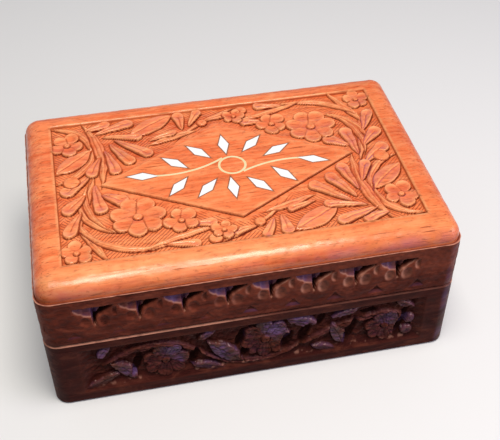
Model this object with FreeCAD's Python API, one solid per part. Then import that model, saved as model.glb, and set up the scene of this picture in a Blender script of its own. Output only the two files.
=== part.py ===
import FreeCAD, Part
import math
import os

# Hinged, carved and inlaid wooden box. Millimetres, Z up, front towards -Y.
# The origin is the middle of the underside.

# Outside of the closed box
BOX_LENGTH = 152.4
BOX_WIDTH = 101.6
BASE_HEIGHT = 32.6
LID_WALL_HEIGHT = 21.2
SEAM_GAP = 0.2
CORNER_RADIUS = 5.6
FOOT_CHAMFER = 0.8
SEAM_ARRIS = 0.6

# Walls and the panel let in under them
WALL = 8.0
PANEL_THICKNESS = 4.0
PANEL_RABBET = 4.0
PANEL_CLEARANCE = 0.15

# Board on top of the lid walls
BOARD_THICKNESS = 7.0
BOARD_INSET = 0.8
BOARD_CORNER_RADIUS = 8.0
BOARD_ROUNDOVER = 5.5

# Carved field on the board and the plain lozenge left standing in it
FIELD_MARGIN = 11.0
FIELD_DEPTH = 1.1
LOZENGE_LENGTH = 97.0
LOZENGE_WIDTH = 55.0

# Ornament left standing in one half of the field, measured from the lid's middle.
# The other half has the same ornament, turned half a turn.
# Stems and broad leaves: root, tip and the bulge of either edge
FIELD_STEMS = [
    (-64.8, 38.5, -50.3, 19.0, 7.0, -3.6),
    (-49.5, 23.0, -64.8, 4.0, 6.0, -2.9),
    (-52.5, 39.0, -48.0, 0.0, 5.4, -1.2),
    (-50.5, 5.0, -58.6, -24.0, 1.1, 2.0),
    (-59.5, -17.0, -49.0, -40.5, 1.4, 1.8),
    (-58.0, -23.0, -28.0, -36.4, -3.6, 6.4),
    (-36.0, -37.0, -8.0, -29.6, 2.1, 0.5),
    (-57.5, -8.0, -44.5, -26.5, -1.6, 4.8),
    (-53.5, 1.0, -48.0, -24.0, -2.4, 4.8),
    (-9.0, -38.2, 16.0, -22.5, -1.0, 2.6),
    (-50.5, 22.0, -64.6, 10.0, 4.2, 3.4),
    (-35.0, 27.5, -16.5, 38.2, 4.4, 3.6),
    (-27.5, 21.0, -8.5, 26.3, 1.6, 1.0),
]

# Leaves that widen to a round tip: root, tip and half width
FIELD_LEAVES = [
    (-52.0, 6.5, -62.8, -3.0, 2.8),
    (-54.5, -4.0, -62.8, -13.2, 2.7),
    (-57.0, -13.5, -62.6, -25.6, 2.5),
    (-50.8, 1.0, -49.4, -15.6, 2.6),
    (-48.5, -5.0, -39.6, -11.4, 2.8),
    (-29.0, -35.8, -17.0, -37.6, 1.9),
    (-19.0, -26.8, -9.6, -28.4, 2.1),
    (-47.5, 17.0, -52.0, 5.6, 2.3),
    (-45.0, 21.0, -41.6, 5.6, 2.3),
    (-43.0, 25.0, -35.4, 10.6, 2.5),
    (-41.0, 27.0, -27.4, 14.4, 2.3),
    (-52.0, 35.0, -41.6, 37.8, 2.2),
    (-48.5, 32.0, -32.6, 37.0, 2.4),
    (-45.5, 29.8, -29.8, 26.6, 1.8),
    (-27.5, 24.0, -16.4, 27.0, 1.6),
    (-13.8, 28.6, -14.2, 39.4, 2.4),
    (-10.8, 30.0, -5.6, 39.4, 2.0),
    (-4.0, 32.6, 5.2, 34.8, 1.6),
]

# Flowers: middle, radius, count of petals and turn in degrees
FIELD_FLOWERS = [
    (-37.0, -19.7, 9.8, 7, 4),
    (-22.0, -24.6, 6.4, 5, 40),
    (-59.3, 27.0, 6.8, 5, 60),
    (-59.8, -34.0, 5.8, 5, 20),
    (-8.0, -32.6, 4.6, 5, 0),
]
PETAL_OVERLAP = 1.12

# Round buds: middle and radius
FIELD_BUDS = [(-11.6, -36.2, 2.4), (-5.3, 31.0, 2.0), (-59.0, 4.0, 3.0)]

# Straight runs that a curved outline is drawn with
BLADE_RUNS = 5
TIP_RUNS = 5
PETAL_RUNS = 3
BUD_RUNS = 8

# White chips and brass wire of the inlay
INLAY_DEPTH = 1.2
INLAY_CLEARANCE = 0.05
CHIP_LENGTH = 11.8
CHIP_WIDTH = 4.1
WIRE_WIDTH = 0.9
RING_X = 1.5
RING_Y = 1.3
RING_RADIUS = 5.0

# Chip places on the lid: middle and the direction of the long way in degrees
CHIPS = [
    (-32.7, 1.5, -9),
    (-19.8, 7.0, -42),
    (-9.9, 11.8, -48),
    (0.5, 14.4, 90),
    (11.2, 12.9, 45),
    (19.9, 7.2, 27),
    (32.5, -1.4, -20),
    (19.7, -7.7, -53),
    (9.5, -11.8, -52),
    (-0.5, -11.6, 90),
    (-9.9, -10.0, 47),
    (-20.3, -7.0, 49),
]

# Each wire starts at the ring, bends through a middle point and ends at a chip
WIRES = {
    "inlay_vine_left": [(-1.5, 6.2), (-13.0, 1.4), (-28.5, 0.9)],
    "inlay_vine_right": [(5.0, -3.2), (15.0, 0.0), (28.5, 0.2)],
}

# Row of funnel-shaped notches round the lid walls, heights above the lid's lower edge
NOTCH_PITCH = 15.6
NOTCH_END_MARGIN = 11.5
NOTCH_DEPTH = 2.0
NOTCH_OUTLINE = [
    (-7.4, 17.2),
    (-6.6, 15.2),
    (-4.0, 13.8),
    (-0.8, 12.2),
    (0.0, 8.0),
    (1.0, 11.8),
    (4.0, 14.0),
    (6.4, 17.2),
]
NICK_FOOT = 2.0
NICK_TOP = 6.2
NICK_WIDTH = 3.2
NICK_DEPTH = 0.7

# Carved band round the base walls, with a running vine in bays
BAND_MARGIN = 11.0
BAND_FOOT = 5.0
BAND_HEAD = 28.3
BAND_DEPTH = 2.2
VINE_BAY_LENGTH = 42.0
VINE_RISE = 7.6
VINE_STEM_WIDTH = 1.7

# Leaves of one vine bay, from its middle: root, tip and the bulge of either edge
VINE_LEAVES = [
    (-19.0, 2.5, -4.5, -9.8, 2.4, 3.2),
    (-4.0, 7.6, 12.0, -9.6, 3.2, 2.6),
]

# Butt hinges
HINGE_END_DISTANCE = 31.2
PIN_INSET = 0.9
PIN_RADIUS = 0.85
PIN_CLEARANCE = 0.05
KNUCKLE_RADIUS = 1.7
KNUCKLE_GAP = 0.15
KNUCKLE_CLEARANCE = 0.25
LEAF_LENGTH = 22.0
LEAF_WIDTH = 6.5
LEAF_THICKNESS = 0.9
LEAF_CLEARANCE = 0.1
STOP_ANGLE = 104.0
STOP_GAP = 0.3

# Heights and lengths that follow from the sizes above
LID_BOTTOM = BASE_HEIGHT + SEAM_GAP
BOARD_BOTTOM = LID_BOTTOM + LID_WALL_HEIGHT
BOARD_TOP = BOARD_BOTTOM + BOARD_THICKNESS
INNER_LENGTH = BOX_LENGTH - 2 * WALL
INNER_WIDTH = BOX_WIDTH - 2 * WALL
AXIS_Y = BOX_WIDTH / 2 - PIN_INSET
AXIS_Z = BASE_HEIGHT + SEAM_GAP / 2
HINGE_X = BOX_LENGTH / 2 - HINGE_END_DISTANCE
HINGES = {"left": -HINGE_X, "right": HINGE_X}
SIDE_TURNS = {"front": 0, "right": 90, "back": 180, "left": 270}

# Spare length that lets a cutter pass through a face, and how level an edge has to be
PASS = 1.0
LEVEL_TOLERANCE = 0.0001

V = FreeCAD.Vector
X_AXIS = V(1, 0, 0)
Z_AXIS = V(0, 0, 1)


def rounded_block(length, width, height, radius, bottom):
    """Upright block centred on Z, with its four vertical edges rounded."""
    block = Part.makeBox(length, width, height, V(-length / 2, -width / 2, bottom))
    uprights = [edge for edge in block.Edges if edge.BoundBox.ZLength > height / 2]
    return block.makeFillet(radius, uprights)


def centred_box(length, width, bottom, top):
    """Upright box centred on Z, between two heights."""
    return Part.makeBox(length, width, top - bottom, V(-length / 2, -width / 2, bottom))


def edges_at(shape, height):
    """Edges that lie flat at one height."""
    level = []
    for edge in shape.Edges:
        box = edge.BoundBox
        if abs(box.ZMin - height) < LEVEL_TOLERANCE and abs(box.ZMax - height) < LEVEL_TOLERANCE:
            level.append(edge)
    return level


def polygon_face(points):
    """Flat face through points given as (x, y)."""
    corners = [V(x, y, 0) for x, y in points]
    return Part.Face(Part.makePolygon(corners + corners[:1]))


def rod(start, end, radius):
    """Round rod along X on the pin axis, measured from the hinge's middle."""
    return Part.makeCylinder(radius, end - start, V(start, 0, 0), X_AXIS)


def blade(root_x, root_y, tip_x, tip_y, left_bulge, right_bulge):
    """Leaf or stem between two bowed edges from root to tip; a negative bulge bows both edges one way."""
    root = V(root_x, root_y, 0)
    along = V(tip_x, tip_y, 0) - root
    across = V(-along.y, along.x, 0).normalize()
    left = []
    right = []
    for index in range(1, BLADE_RUNS):
        share = index / BLADE_RUNS
        bow = 4 * share * (1 - share)
        left.append(root + along * share + across * bow * left_bulge)
        right.append(root + along * share - across * bow * right_bulge)
    outline = [root] + left + [root + along] + right[::-1]
    return polygon_face([(point.x, point.y) for point in outline])


def arc_points(x, y, radius, first, last, runs):
    """Points along a circle between two angles in degrees."""
    points = []
    for index in range(runs + 1):
        angle = math.radians(first + (last - first) * index / runs)
        points.append((x + radius * math.cos(angle), y + radius * math.sin(angle)))
    return points


def round_leaf(root_x, root_y, tip_x, tip_y, half_width):
    """Leaf that widens from a pointed root to a round tip."""
    length = math.hypot(tip_x - root_x, tip_y - root_y)
    face = polygon_face([(0, 0)] + arc_points(length - half_width, 0, half_width, -105, 105, TIP_RUNS))
    face.rotate(V(0, 0, 0), Z_AXIS, math.degrees(math.atan2(tip_y - root_y, tip_x - root_x)))
    face.translate(V(root_x, root_y, 0))
    return face


def flower(x, y, radius, petals, turn):
    """Ring of round petals, drawn as one outline that dips between neighbours."""
    half_pitch = math.pi / petals
    ring = radius / (1 + PETAL_OVERLAP * math.sin(half_pitch))
    dip = ring * (math.cos(half_pitch) + math.sin(half_pitch) * math.sqrt(PETAL_OVERLAP ** 2 - 1))
    reach = 90 - 90 / petals
    outline = []
    for index in range(petals):
        middle = 360 * index / petals
        angle = math.radians(middle)
        outline += arc_points(0, 0, dip, middle - 180 / petals, middle, 1)[:1]
        outline += arc_points(ring * math.cos(angle), ring * math.sin(angle), radius - ring,
                              middle - reach, middle + reach, PETAL_RUNS)
    face = polygon_face(outline)
    face.rotate(V(0, 0, 0), Z_AXIS, turn)
    face.translate(V(x, y, 0))
    return face


def bud(x, y, radius):
    """Small round bud."""
    return polygon_face(arc_points(x, y, radius, 0, 360, BUD_RUNS)[:-1])


def disc(x, y, radius):
    """Round flat face."""
    return Part.Face(Part.Wire(Part.makeCircle(radius, V(x, y, 0))))


def sunk(face, depth):
    """Cutter from a flat face, down by a depth and up past the surface."""
    lowered = face.copy()
    lowered.translate(V(0, 0, -depth))
    return lowered.extrude(V(0, 0, depth + PASS))


def on_side(shape, side):
    """Stand a drawing made flat round the origin up on the foot of one wall's outer face."""
    placed = shape.copy()
    placed.rotate(V(0, 0, 0), X_AXIS, 90)
    reach = BOX_WIDTH / 2 if side in ("front", "back") else BOX_LENGTH / 2
    placed.translate(V(0, -reach, 0))
    placed.rotate(V(0, 0, 0), Z_AXIS, SIDE_TURNS[side])
    return placed


def side_length(side):
    """Outside length of one wall."""
    return BOX_LENGTH if side in ("front", "back") else BOX_WIDTH


def wall_wedge(side):
    """Upright prism between two mitre planes that holds one wall of a ring."""
    half = side_length(side) / 2
    reach = WALL + PASS
    flat = polygon_face([
        (-half - PASS, PASS),
        (half + PASS, PASS),
        (half - reach, -reach),
        (-half + reach, -reach),
    ])
    flat.rotate(V(0, 0, 0), X_AXIS, 180)
    depth = BOX_WIDTH / 2 if side in ("front", "back") else BOX_LENGTH / 2
    flat.translate(V(0, -depth, -PASS))
    flat.rotate(V(0, 0, 0), Z_AXIS, SIDE_TURNS[side])
    return flat.extrude(V(0, 0, BOARD_TOP + 2 * PASS))


def seam_bevel():
    """Wedge cut off the base's back edge, so that the lid stops against it at the stop angle."""
    lean = math.radians(STOP_ANGLE / 2)
    top = PASS
    back = PIN_INSET + PASS
    offset = STOP_GAP / 2
    start = -(offset + math.cos(lean) * top) / math.sin(lean)
    low = -(offset + math.sin(lean) * back) / math.cos(lean)
    wedge = polygon_face([(start, top), (back, top), (back, low)])
    wedge = wedge.extrude(V(0, 0, BOX_LENGTH + 2 * PASS))
    wedge.rotate(V(0, 0, 0), V(1, 1, 1), 120)
    wedge.translate(V(-BOX_LENGTH / 2 - PASS, AXIS_Y, AXIS_Z))
    return wedge


def over_axis(shape):
    """The same shape mirrored through the level of the pin axis, from the base to the lid."""
    return shape.mirror(V(0, 0, AXIS_Z), Z_AXIS)


def knuckle_spans():
    """Stretches of the pin held by the base leaf's two knuckles and by the lid leaf's one."""
    third = LEAF_LENGTH / 6
    gap = KNUCKLE_GAP / 2
    base = [(-LEAF_LENGTH / 2, -third - gap), (third + gap, LEAF_LENGTH / 2)]
    lid = [(-third + gap, third - gap)]
    return base, lid


def hinge_leaf(own, other):
    """Flat leaf under the pin axis, with knuckles on its own spans and room for the other leaf's."""
    leaf = Part.makeBox(LEAF_LENGTH, LEAF_WIDTH, LEAF_THICKNESS)
    leaf.translate(V(-LEAF_LENGTH / 2, -LEAF_WIDTH, -SEAM_GAP / 2 - LEAF_THICKNESS))
    gap = KNUCKLE_GAP
    for start, end in other:
        first = start - gap
        last = end + gap
        if abs(start) >= LEAF_LENGTH / 2:
            first = start - PASS
        if abs(end) >= LEAF_LENGTH / 2:
            last = end + PASS
        leaf = leaf.cut(rod(first, last, KNUCKLE_RADIUS + KNUCKLE_CLEARANCE))
    for start, end in own:
        leaf = leaf.fuse(rod(start, end, KNUCKLE_RADIUS))
    leaf = leaf.cut(rod(-LEAF_LENGTH / 2 - PASS, LEAF_LENGTH / 2 + PASS, PIN_RADIUS + PIN_CLEARANCE))
    return leaf.removeSplitter()


def hinge_seat():
    """Mortise for a leaf and groove for the knuckles."""
    end = LEAF_LENGTH / 2 + LEAF_CLEARANCE
    seat = Part.makeBox(2 * end, LEAF_WIDTH + LEAF_CLEARANCE, LEAF_THICKNESS + PASS)
    seat.translate(V(-end, -LEAF_WIDTH - LEAF_CLEARANCE, -SEAM_GAP / 2 - LEAF_THICKNESS))
    return seat.fuse(rod(-end, end, KNUCKLE_RADIUS + KNUCKLE_CLEARANCE))


def at_hinge(shape, x):
    """Move something made round the pin axis to one hinge."""
    placed = shape.copy()
    placed.translate(V(x, AXIS_Y, AXIS_Z))
    return placed


def nick_outline():
    """Small chip with its point up, drawn upright on the Y axis."""
    return polygon_face([(-NICK_WIDTH / 2, NICK_FOOT), (NICK_WIDTH / 2, NICK_FOOT), (0, NICK_TOP)])


def notch_row(side):
    """Notches in a row on one lid wall, with a small nick on either side of each."""
    room = side_length(side) - 2 * NOTCH_END_MARGIN
    count = int(room / NOTCH_PITCH)
    cutters = []
    for index in range(count):
        notch = sunk(polygon_face(NOTCH_OUTLINE), NOTCH_DEPTH)
        notch.translate(V((index - (count - 1) / 2) * NOTCH_PITCH, LID_BOTTOM, 0))
        cutters.append(on_side(notch, side))
    for index in range(count + 1):
        nick = sunk(nick_outline(), NICK_DEPTH)
        nick.translate(V((index - count / 2) * NOTCH_PITCH, LID_BOTTOM, 0))
        cutters.append(on_side(nick, side))
    return cutters


def vine_bay():
    """One bay of the running vine: an arched stem with leaves under it."""
    reach = VINE_BAY_LENGTH / 2 + VINE_STEM_WIDTH
    faces = [blade(-reach, 0, reach, 0, VINE_RISE + VINE_STEM_WIDTH, -VINE_RISE)]
    for leaf in VINE_LEAVES:
        faces.append(blade(*leaf))
    return faces


def vine_band(side):
    """Ground cut out round a running vine on one base wall, with every other bay upside down."""
    half = side_length(side) / 2 - BAND_MARGIN
    middle_height = (BAND_FOOT + BAND_HEAD) / 2
    outline = polygon_face([
        (-half, BAND_FOOT),
        (half, BAND_FOOT),
        (half, BAND_HEAD),
        (-half, BAND_HEAD),
    ])
    count = max(1, round(2 * half / VINE_BAY_LENGTH))
    bay = 2 * half / count
    raised = []
    for index in range(count):
        for face in vine_bay():
            piece = face.copy()
            if index % 2:
                piece.rotate(V(0, 0, 0), Z_AXIS, 180)
            piece.translate(V((index - (count - 1) / 2) * bay, middle_height, 0))
            raised.append(sunk(piece, BAND_DEPTH + PASS))
    return on_side(sunk(outline, BAND_DEPTH).cut(raised), side)


def base_ring():
    """The four base walls in one, with the rabbet for the bottom panel and the beveled back edge."""
    ring = rounded_block(BOX_LENGTH, BOX_WIDTH, BASE_HEIGHT, CORNER_RADIUS, 0)
    ring = ring.makeChamfer(FOOT_CHAMFER, edges_at(ring, 0))
    ring = ring.makeChamfer(SEAM_ARRIS, edges_at(ring, BASE_HEIGHT))
    rabbet_length = INNER_LENGTH + 2 * PANEL_RABBET
    rabbet_width = INNER_WIDTH + 2 * PANEL_RABBET
    ring = ring.cut(centred_box(INNER_LENGTH, INNER_WIDTH, -PASS, BASE_HEIGHT + PASS))
    ring = ring.cut(centred_box(rabbet_length, rabbet_width, -PASS, PANEL_THICKNESS))
    return ring.cut(seam_bevel())


def lid_ring():
    """The four lid walls in one, with the beveled back edge."""
    ring = rounded_block(BOX_LENGTH, BOX_WIDTH, LID_WALL_HEIGHT, CORNER_RADIUS, LID_BOTTOM)
    ring = ring.cut(centred_box(INNER_LENGTH, INNER_WIDTH, LID_BOTTOM - PASS, BOARD_BOTTOM + PASS))
    return ring.cut(over_axis(seam_bevel()))


def bottom_panel():
    """Thin panel that fills the rabbet, flush with the underside."""
    length = INNER_LENGTH + 2 * (PANEL_RABBET - PANEL_CLEARANCE)
    width = INNER_WIDTH + 2 * (PANEL_RABBET - PANEL_CLEARANCE)
    return centred_box(length, width, 0, PANEL_THICKNESS)


def chip_outline(place, spare):
    """Rhombus of one white chip, larger all round by a spare."""
    x, y, turn = place
    half_length = CHIP_LENGTH / 2
    half_width = CHIP_WIDTH / 2
    grow = 1 + spare * math.hypot(half_length, half_width) / (half_length * half_width)
    a = half_length * grow
    b = half_width * grow
    face = polygon_face([(-a, 0), (0, -b), (a, 0), (0, b)])
    face.rotate(V(0, 0, 0), Z_AXIS, turn)
    face.translate(V(x, y, 0))
    return face


def ring_outline(spare):
    """Flat ring of brass wire, larger all round by a spare."""
    half = WIRE_WIDTH / 2 + spare
    return disc(RING_X, RING_Y, RING_RADIUS + half).cut(disc(RING_X, RING_Y, RING_RADIUS - half))


def wire_outline(points, spare):
    """Band of brass wire along the circle through three points, larger all round by a spare."""
    start, middle, end = [V(x, y, 0) for x, y in points]
    circle = Part.Arc(start, middle, end).toShape()
    centre = circle.Curve.Center
    half = WIRE_WIDTH / 2 + spare
    rims = []
    for radius in (circle.Curve.Radius - half, circle.Curve.Radius + half):
        rims.append([centre + (point - centre).normalize() * radius for point in (start, middle, end)])
    inner, outer = rims
    edges = [
        Part.Arc(*inner).toShape(),
        Part.makeLine(inner[2], outer[2]),
        Part.Arc(*outer[::-1]).toShape(),
        Part.makeLine(outer[0], inner[0]),
    ]
    return Part.Face(Part.Wire(edges))


def inlay_outlines(spare):
    """Outline of every inlaid piece by name; a wire stops short of the ring and the chips."""
    outlines = {}
    for index, place in enumerate(CHIPS, start=1):
        outlines["inlay_leaf_%02d" % index] = chip_outline(place, spare)
    outlines["inlay_ring"] = ring_outline(spare)
    seats = [chip_outline(place, INLAY_CLEARANCE) for place in CHIPS]
    seats.append(disc(RING_X, RING_Y, RING_RADIUS + WIRE_WIDTH / 2 + INLAY_CLEARANCE))
    for name, points in WIRES.items():
        outlines[name] = wire_outline(points, spare).cut(seats).Faces[0]
    return outlines


def inlay_pieces():
    """Chips and wires, flush with the top of the board."""
    pieces = {}
    for name, outline in inlay_outlines(0).items():
        piece = outline.extrude(V(0, 0, INLAY_DEPTH))
        piece.translate(V(0, 0, BOARD_TOP - INLAY_DEPTH))
        pieces[name] = piece
    return pieces


def field_ornament():
    """Stems, leaves, flowers and buds that stand in the carved field, on both halves of the lid."""
    faces = [blade(*place) for place in FIELD_STEMS]
    faces += [round_leaf(*place) for place in FIELD_LEAVES]
    faces += [flower(*place) for place in FIELD_FLOWERS]
    faces += [bud(*place) for place in FIELD_BUDS]
    turned = [face.copy() for face in faces]
    for face in turned:
        face.rotate(V(0, 0, 0), Z_AXIS, 180)
    return faces + turned


def carved_field():
    """Ground cut out of the board round the plain lozenge and the ornament."""
    half_length = BOX_LENGTH / 2 - FIELD_MARGIN
    half_width = BOX_WIDTH / 2 - FIELD_MARGIN
    field = polygon_face([
        (-half_length, -half_width),
        (half_length, -half_width),
        (half_length, half_width),
        (-half_length, half_width),
    ])
    lozenge = polygon_face([
        (-LOZENGE_LENGTH / 2, 0),
        (0, -LOZENGE_WIDTH / 2),
        (LOZENGE_LENGTH / 2, 0),
        (0, LOZENGE_WIDTH / 2),
    ])
    standing = [lozenge] + field_ornament()
    return sunk(field, FIELD_DEPTH).cut([sunk(face, FIELD_DEPTH + PASS) for face in standing])


def top_board():
    """Board with a rounded rim, a carved field and pockets for the inlay."""
    length = BOX_LENGTH - 2 * BOARD_INSET
    width = BOX_WIDTH - 2 * BOARD_INSET
    board = rounded_block(length, width, BOARD_THICKNESS, BOARD_CORNER_RADIUS, BOARD_BOTTOM)
    board = board.makeFillet(BOARD_ROUNDOVER, edges_at(board, BOARD_TOP))
    cutters = [carved_field()]
    for outline in inlay_outlines(INLAY_CLEARANCE).values():
        cutters.append(sunk(outline, INLAY_DEPTH))
    for cutter in cutters:
        cutter.translate(V(0, 0, BOARD_TOP))
    return board.cut(cutters)


def walls(prefix, ring, carving, seat):
    """The four mitred walls of a ring, each with its carving and the back one with hinge seats."""
    pieces = {}
    for side in SIDE_TURNS:
        wall = ring.common(wall_wedge(side)).cut(carving(side))
        if side == "back":
            wall = wall.cut([seat(x) for x in HINGES.values()])
        pieces["%s_%s_wall" % (prefix, side)] = wall
    return pieces


def base_seat(x):
    """Hinge seat in the base's back wall."""
    return at_hinge(hinge_seat(), x)


def lid_seat(x):
    """Hinge seat in the lid's back wall."""
    return over_axis(base_seat(x))


def hinge_pieces():
    """Leaves and pins of both hinges."""
    base_spans, lid_spans = knuckle_spans()
    pieces = {}
    for name, x in HINGES.items():
        pin = rod(-LEAF_LENGTH / 2, LEAF_LENGTH / 2, PIN_RADIUS)
        pieces["hinge_%s_base_leaf" % name] = at_hinge(hinge_leaf(base_spans, lid_spans), x)
        pieces["hinge_%s_lid_leaf" % name] = over_axis(at_hinge(hinge_leaf(lid_spans, base_spans), x))
        pieces["hinge_%s_pin" % name] = at_hinge(pin, x)
    return pieces


def main():
    """Build every piece and write it to its own file."""
    pieces = walls("base", base_ring(), vine_band, base_seat)
    pieces.update(walls("lid", lid_ring(), notch_row, lid_seat))
    pieces["base_bottom_panel"] = bottom_panel()
    pieces["lid_top_board"] = top_board()
    pieces.update(inlay_pieces())
    pieces.update(hinge_pieces())
    os.makedirs("parts", exist_ok=True)
    for name, shape in pieces.items():
        shape.exportStep("parts/%s.step" % name)
        print(name, len(shape.Solids), shape.isValid(), round(shape.Volume, 2))


main()
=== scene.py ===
import math

import bpy
import numpy as np
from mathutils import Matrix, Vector


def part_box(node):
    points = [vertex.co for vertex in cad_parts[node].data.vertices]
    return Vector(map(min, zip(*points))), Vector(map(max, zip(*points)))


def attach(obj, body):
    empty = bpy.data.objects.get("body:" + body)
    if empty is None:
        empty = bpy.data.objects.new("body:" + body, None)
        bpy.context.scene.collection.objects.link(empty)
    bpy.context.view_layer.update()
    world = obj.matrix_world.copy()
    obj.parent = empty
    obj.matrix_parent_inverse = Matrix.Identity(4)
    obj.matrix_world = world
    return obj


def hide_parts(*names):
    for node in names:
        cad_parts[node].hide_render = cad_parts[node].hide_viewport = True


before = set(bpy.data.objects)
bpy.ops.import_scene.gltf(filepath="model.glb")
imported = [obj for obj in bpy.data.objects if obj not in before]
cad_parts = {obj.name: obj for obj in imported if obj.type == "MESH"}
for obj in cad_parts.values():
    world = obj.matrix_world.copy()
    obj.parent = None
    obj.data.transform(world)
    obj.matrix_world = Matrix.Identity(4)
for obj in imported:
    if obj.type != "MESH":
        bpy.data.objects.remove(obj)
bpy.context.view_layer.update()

# Lengths are millimetres until a mesh is made. Z is up and the front is towards -Y.
MM = 0.001


def corners(node):
    """Lowest and highest corner of a CAD node, in millimetres."""
    low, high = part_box(node)
    return np.array(low) / MM, np.array(high) / MM


# Sizes read from the frame
BOX_LENGTH = 2 * corners("base_right_wall")[1][0]
BOX_WIDTH = -2 * corners("base_front_wall")[0][1]
BASE_TOP = corners("base_front_wall")[1][2]
LID_FOOT = corners("lid_front_wall")[0][2]
BOARD_LOW, BOARD_HIGH = corners("lid_top_board")
PANEL_TOP = corners("base_bottom_panel")[1][2]
LEAF_LOW, LEAF_HIGH = corners("hinge_right_base_leaf")
LEAF_LENGTH = LEAF_HIGH[0] - LEAF_LOW[0]
LEAF_MIDDLE = (LEAF_LOW[0] + LEAF_HIGH[0]) / 2
PIN_MIDDLE = sum(corners("hinge_right_pin")) / 2

# Joinery sizes
CORNER_RADIUS = 5.6
WALL = 8.0
RABBET = 4.0
FOOT_CHAMFER = 0.8
SEAM_ARRIS = 0.6
BOARD_CORNER = 5.6
ROUNDOVER = 5.5
ROUNDOVER_RUN = 7.6
FIELD_MARGIN = 10.2
FIELD = BOARD_HIGH[:2] - FIELD_MARGIN
LEAF_THICKNESS = 0.9
LEAF_CLEARANCE = 0.1
KNUCKLE_GROOVE = 1.95
BEVEL_DROP = 1.3
BEVEL_INSET = 1.01
LEDGE_LINE = 0.3

# Fineness of the carved grids, and values for almost nothing and for far away
BOARD_STEP = 0.25
FRONT_STEP = 0.235
WALL_STEP = 0.34
ROUND_STEPS = 13
OVERLAP_CELLS = 16
CLOSE_PAIR = 0.01
LEAST_RADIUS = 0.01
TINY = 1e-6
FAR = 99.0

# Tool marks: heights of the long and the short waves
LONG_MARK = 0.22
SHORT_MARK = 0.1

# Ground, cuts round the ornaments and painted shade in them; a line's two values are its width and place
GROUND_DEPTH = 1.1
GROUND_MARKS = 0.6
CUT_DEPTH = 1.55
BACK_CUT_DEPTH = 0.75
CUT_RISE = 2.2
CUT_FLOOR = 0.15
CUT_ROOM = 2.0
EDGE_WIDTH = 0.17
FRONT_LEVEL = 0.55
FRONT_LEAN = 0.6
LINE_WIDTH = 0.25
LINE_LAP = 0.1
BACK_SHADE = 0.15
WOBBLE = 0.1
SCORE_WIDTH = 0.2
SCORE_SHADE = 0.5
SCORE_FADE = 0.3, 0.6
BORDER_STEEPNESS = 3.0
BORDER_SHADE = 0.7
BORDER_LINE = 0.3, 0.35
GLUE_LINE = 0.28, 0.16
HATCHED_DEPTH = GROUND_DEPTH - 0.35, GROUND_DEPTH - 0.15
HATCHED_SHADE_LIMIT = 0.4
HATCHED_SHEEN = 0.2
LOZENGE_LENGTH = 97.0
LOZENGE_WIDTH = 55.0
LOZENGE_SINK = 0.04
LOZENGE_CUT = 0.95
LOZENGE_BANK = 0.45
LOZENGE_BANK_WIDTH = 3.0
LOZENGE_FRONT = 2.0
LOZENGE_AWAY = 5.0

# Stems, leaves, petals and buds; blades give their top's depth, fall to their edges, polish and painted sheen
BLADES = {"stem": (0.12, 0.5, 0.25), "smooth": (0.08, 0.2, 0.8), "veined": (0.08, 0.2, 1.2)}
STEM_GROOVE = 0.3
STEM_GROOVE_PLACE = 0.4
STEM_GROOVE_WIDTH = 0.16
BLADE_HOLLOW = 0.9
BLADE_LIP = 1.15
BLADE_GROOVE = 0.35
BLADE_GROOVE_WIDTH = 0.35
LEAST_HALF = 0.2
VEIN_DEPTH = 0.16
VEIN_PITCH = 2.2
VEIN_SLANT = 1.1
PETAL_TOP = 0.05
PETAL_FLARE = 0.6
PETAL_SLANT = 0.85
PETAL_SINK = 1.3
PETAL_LAP = 1.12
PETAL_WHIM = 0.07, 0.08, 0.1
DISH_SHARE = 0.15
CREASE_WIDTH = 0.3
CREASE_END = 0.6
CREASE_FADE = 0.2, 0.5
RIB_PITCH = 1.3
ROUND_LEAF = {"fall": 0.5, "crease": 0.35, "polish_and_sheen": 1.0}
BUD_TOP = 0.15
BUD_FALL = 0.4
BUD_DIMPLE = 0.45
BUD_DIMPLE_SHARE = 0.3
BUTTON_SHARE = 0.17
UPWARD = math.radians(55)

# Vine band of the base walls
BAND_DEPTH = 2.0
BAND_MARGIN = 11.0
BAND_FOOT = 5.0
BAND_HEAD = 28.3
SOFT_EDGE = 0.14
ROUGH_CUT = 1.0
ROUGH_WAVES = 1.7, 0.8, 3.0
HOLE_DEPTH = 2.4
HOLE_SLANT = 0.25
HOLE_EDGE = 1.3, 0.8
# Painted glints along the band's foot: rate, line, level, fade and paleness
STROKE_RATE = 1.2
STROKE_LINE = 0.7, 7.2
STROKE_LEVEL = 0.08, 0.18
STROKE_FADE = 2.0
STROKE_PALENESS = 0.45
VINE_PETALS = {"polish_and_sheen": 0.1, "upward": 1.1, "rib": 0.2, "line_shade": 0.5}
VINE_BUD_SHEEN = 0.9

# Painted shade and light, stain, wear and polish; two values say where a change starts and ends
RUB_REACH = 1.4
RUB_HEIGHT = 0.7
HOLLOW_SHADE = 0.3
HOLLOW_DEPTH = 0.8
SHEEN_CLIMB = 0.7
GLINT_CLIMB = 1.2, 2.4
FACE_SLOPE = 0.5
FACE_SHEEN_SCALE = 3.0
BOARD_LEVEL = 0.28
BOARD_FACE_LIGHT = 0.7
WALL_LEVEL = 0.6
WALL_GLINTS = {"base": 0.6, "lid": 0.0}
CORNER_SHEEN = 0.5
CORNER_FADE = 2.0
RIM_START = 0.9
RIM_WAVE = 0.35
RIM_WAVE_RATE = 0.55
# Rim: painted highlight along the front, darker low on the round edge with painted sheen, darker right end
RIM_HIGHLIGHT = 0.5
RIM_LOW_DARKENING = 0.035
RIM_SHEEN = 0.22
RIM_LIGHT = 0.0, 4.0
RIM_DROP = 1.0, 4.0
RIM_FADE = 15.0, 60.0
RIM_FADE_SHARE = 0.75
CORNER_STAIN = 0.34
CORNER_REACH = 55.0, 71.0
CORNER_FRONT = 2.0, 7.0
END_DARKENING = 0.13
END_SHEEN = 1.2
END_REACH = -10.0, 70.0
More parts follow.
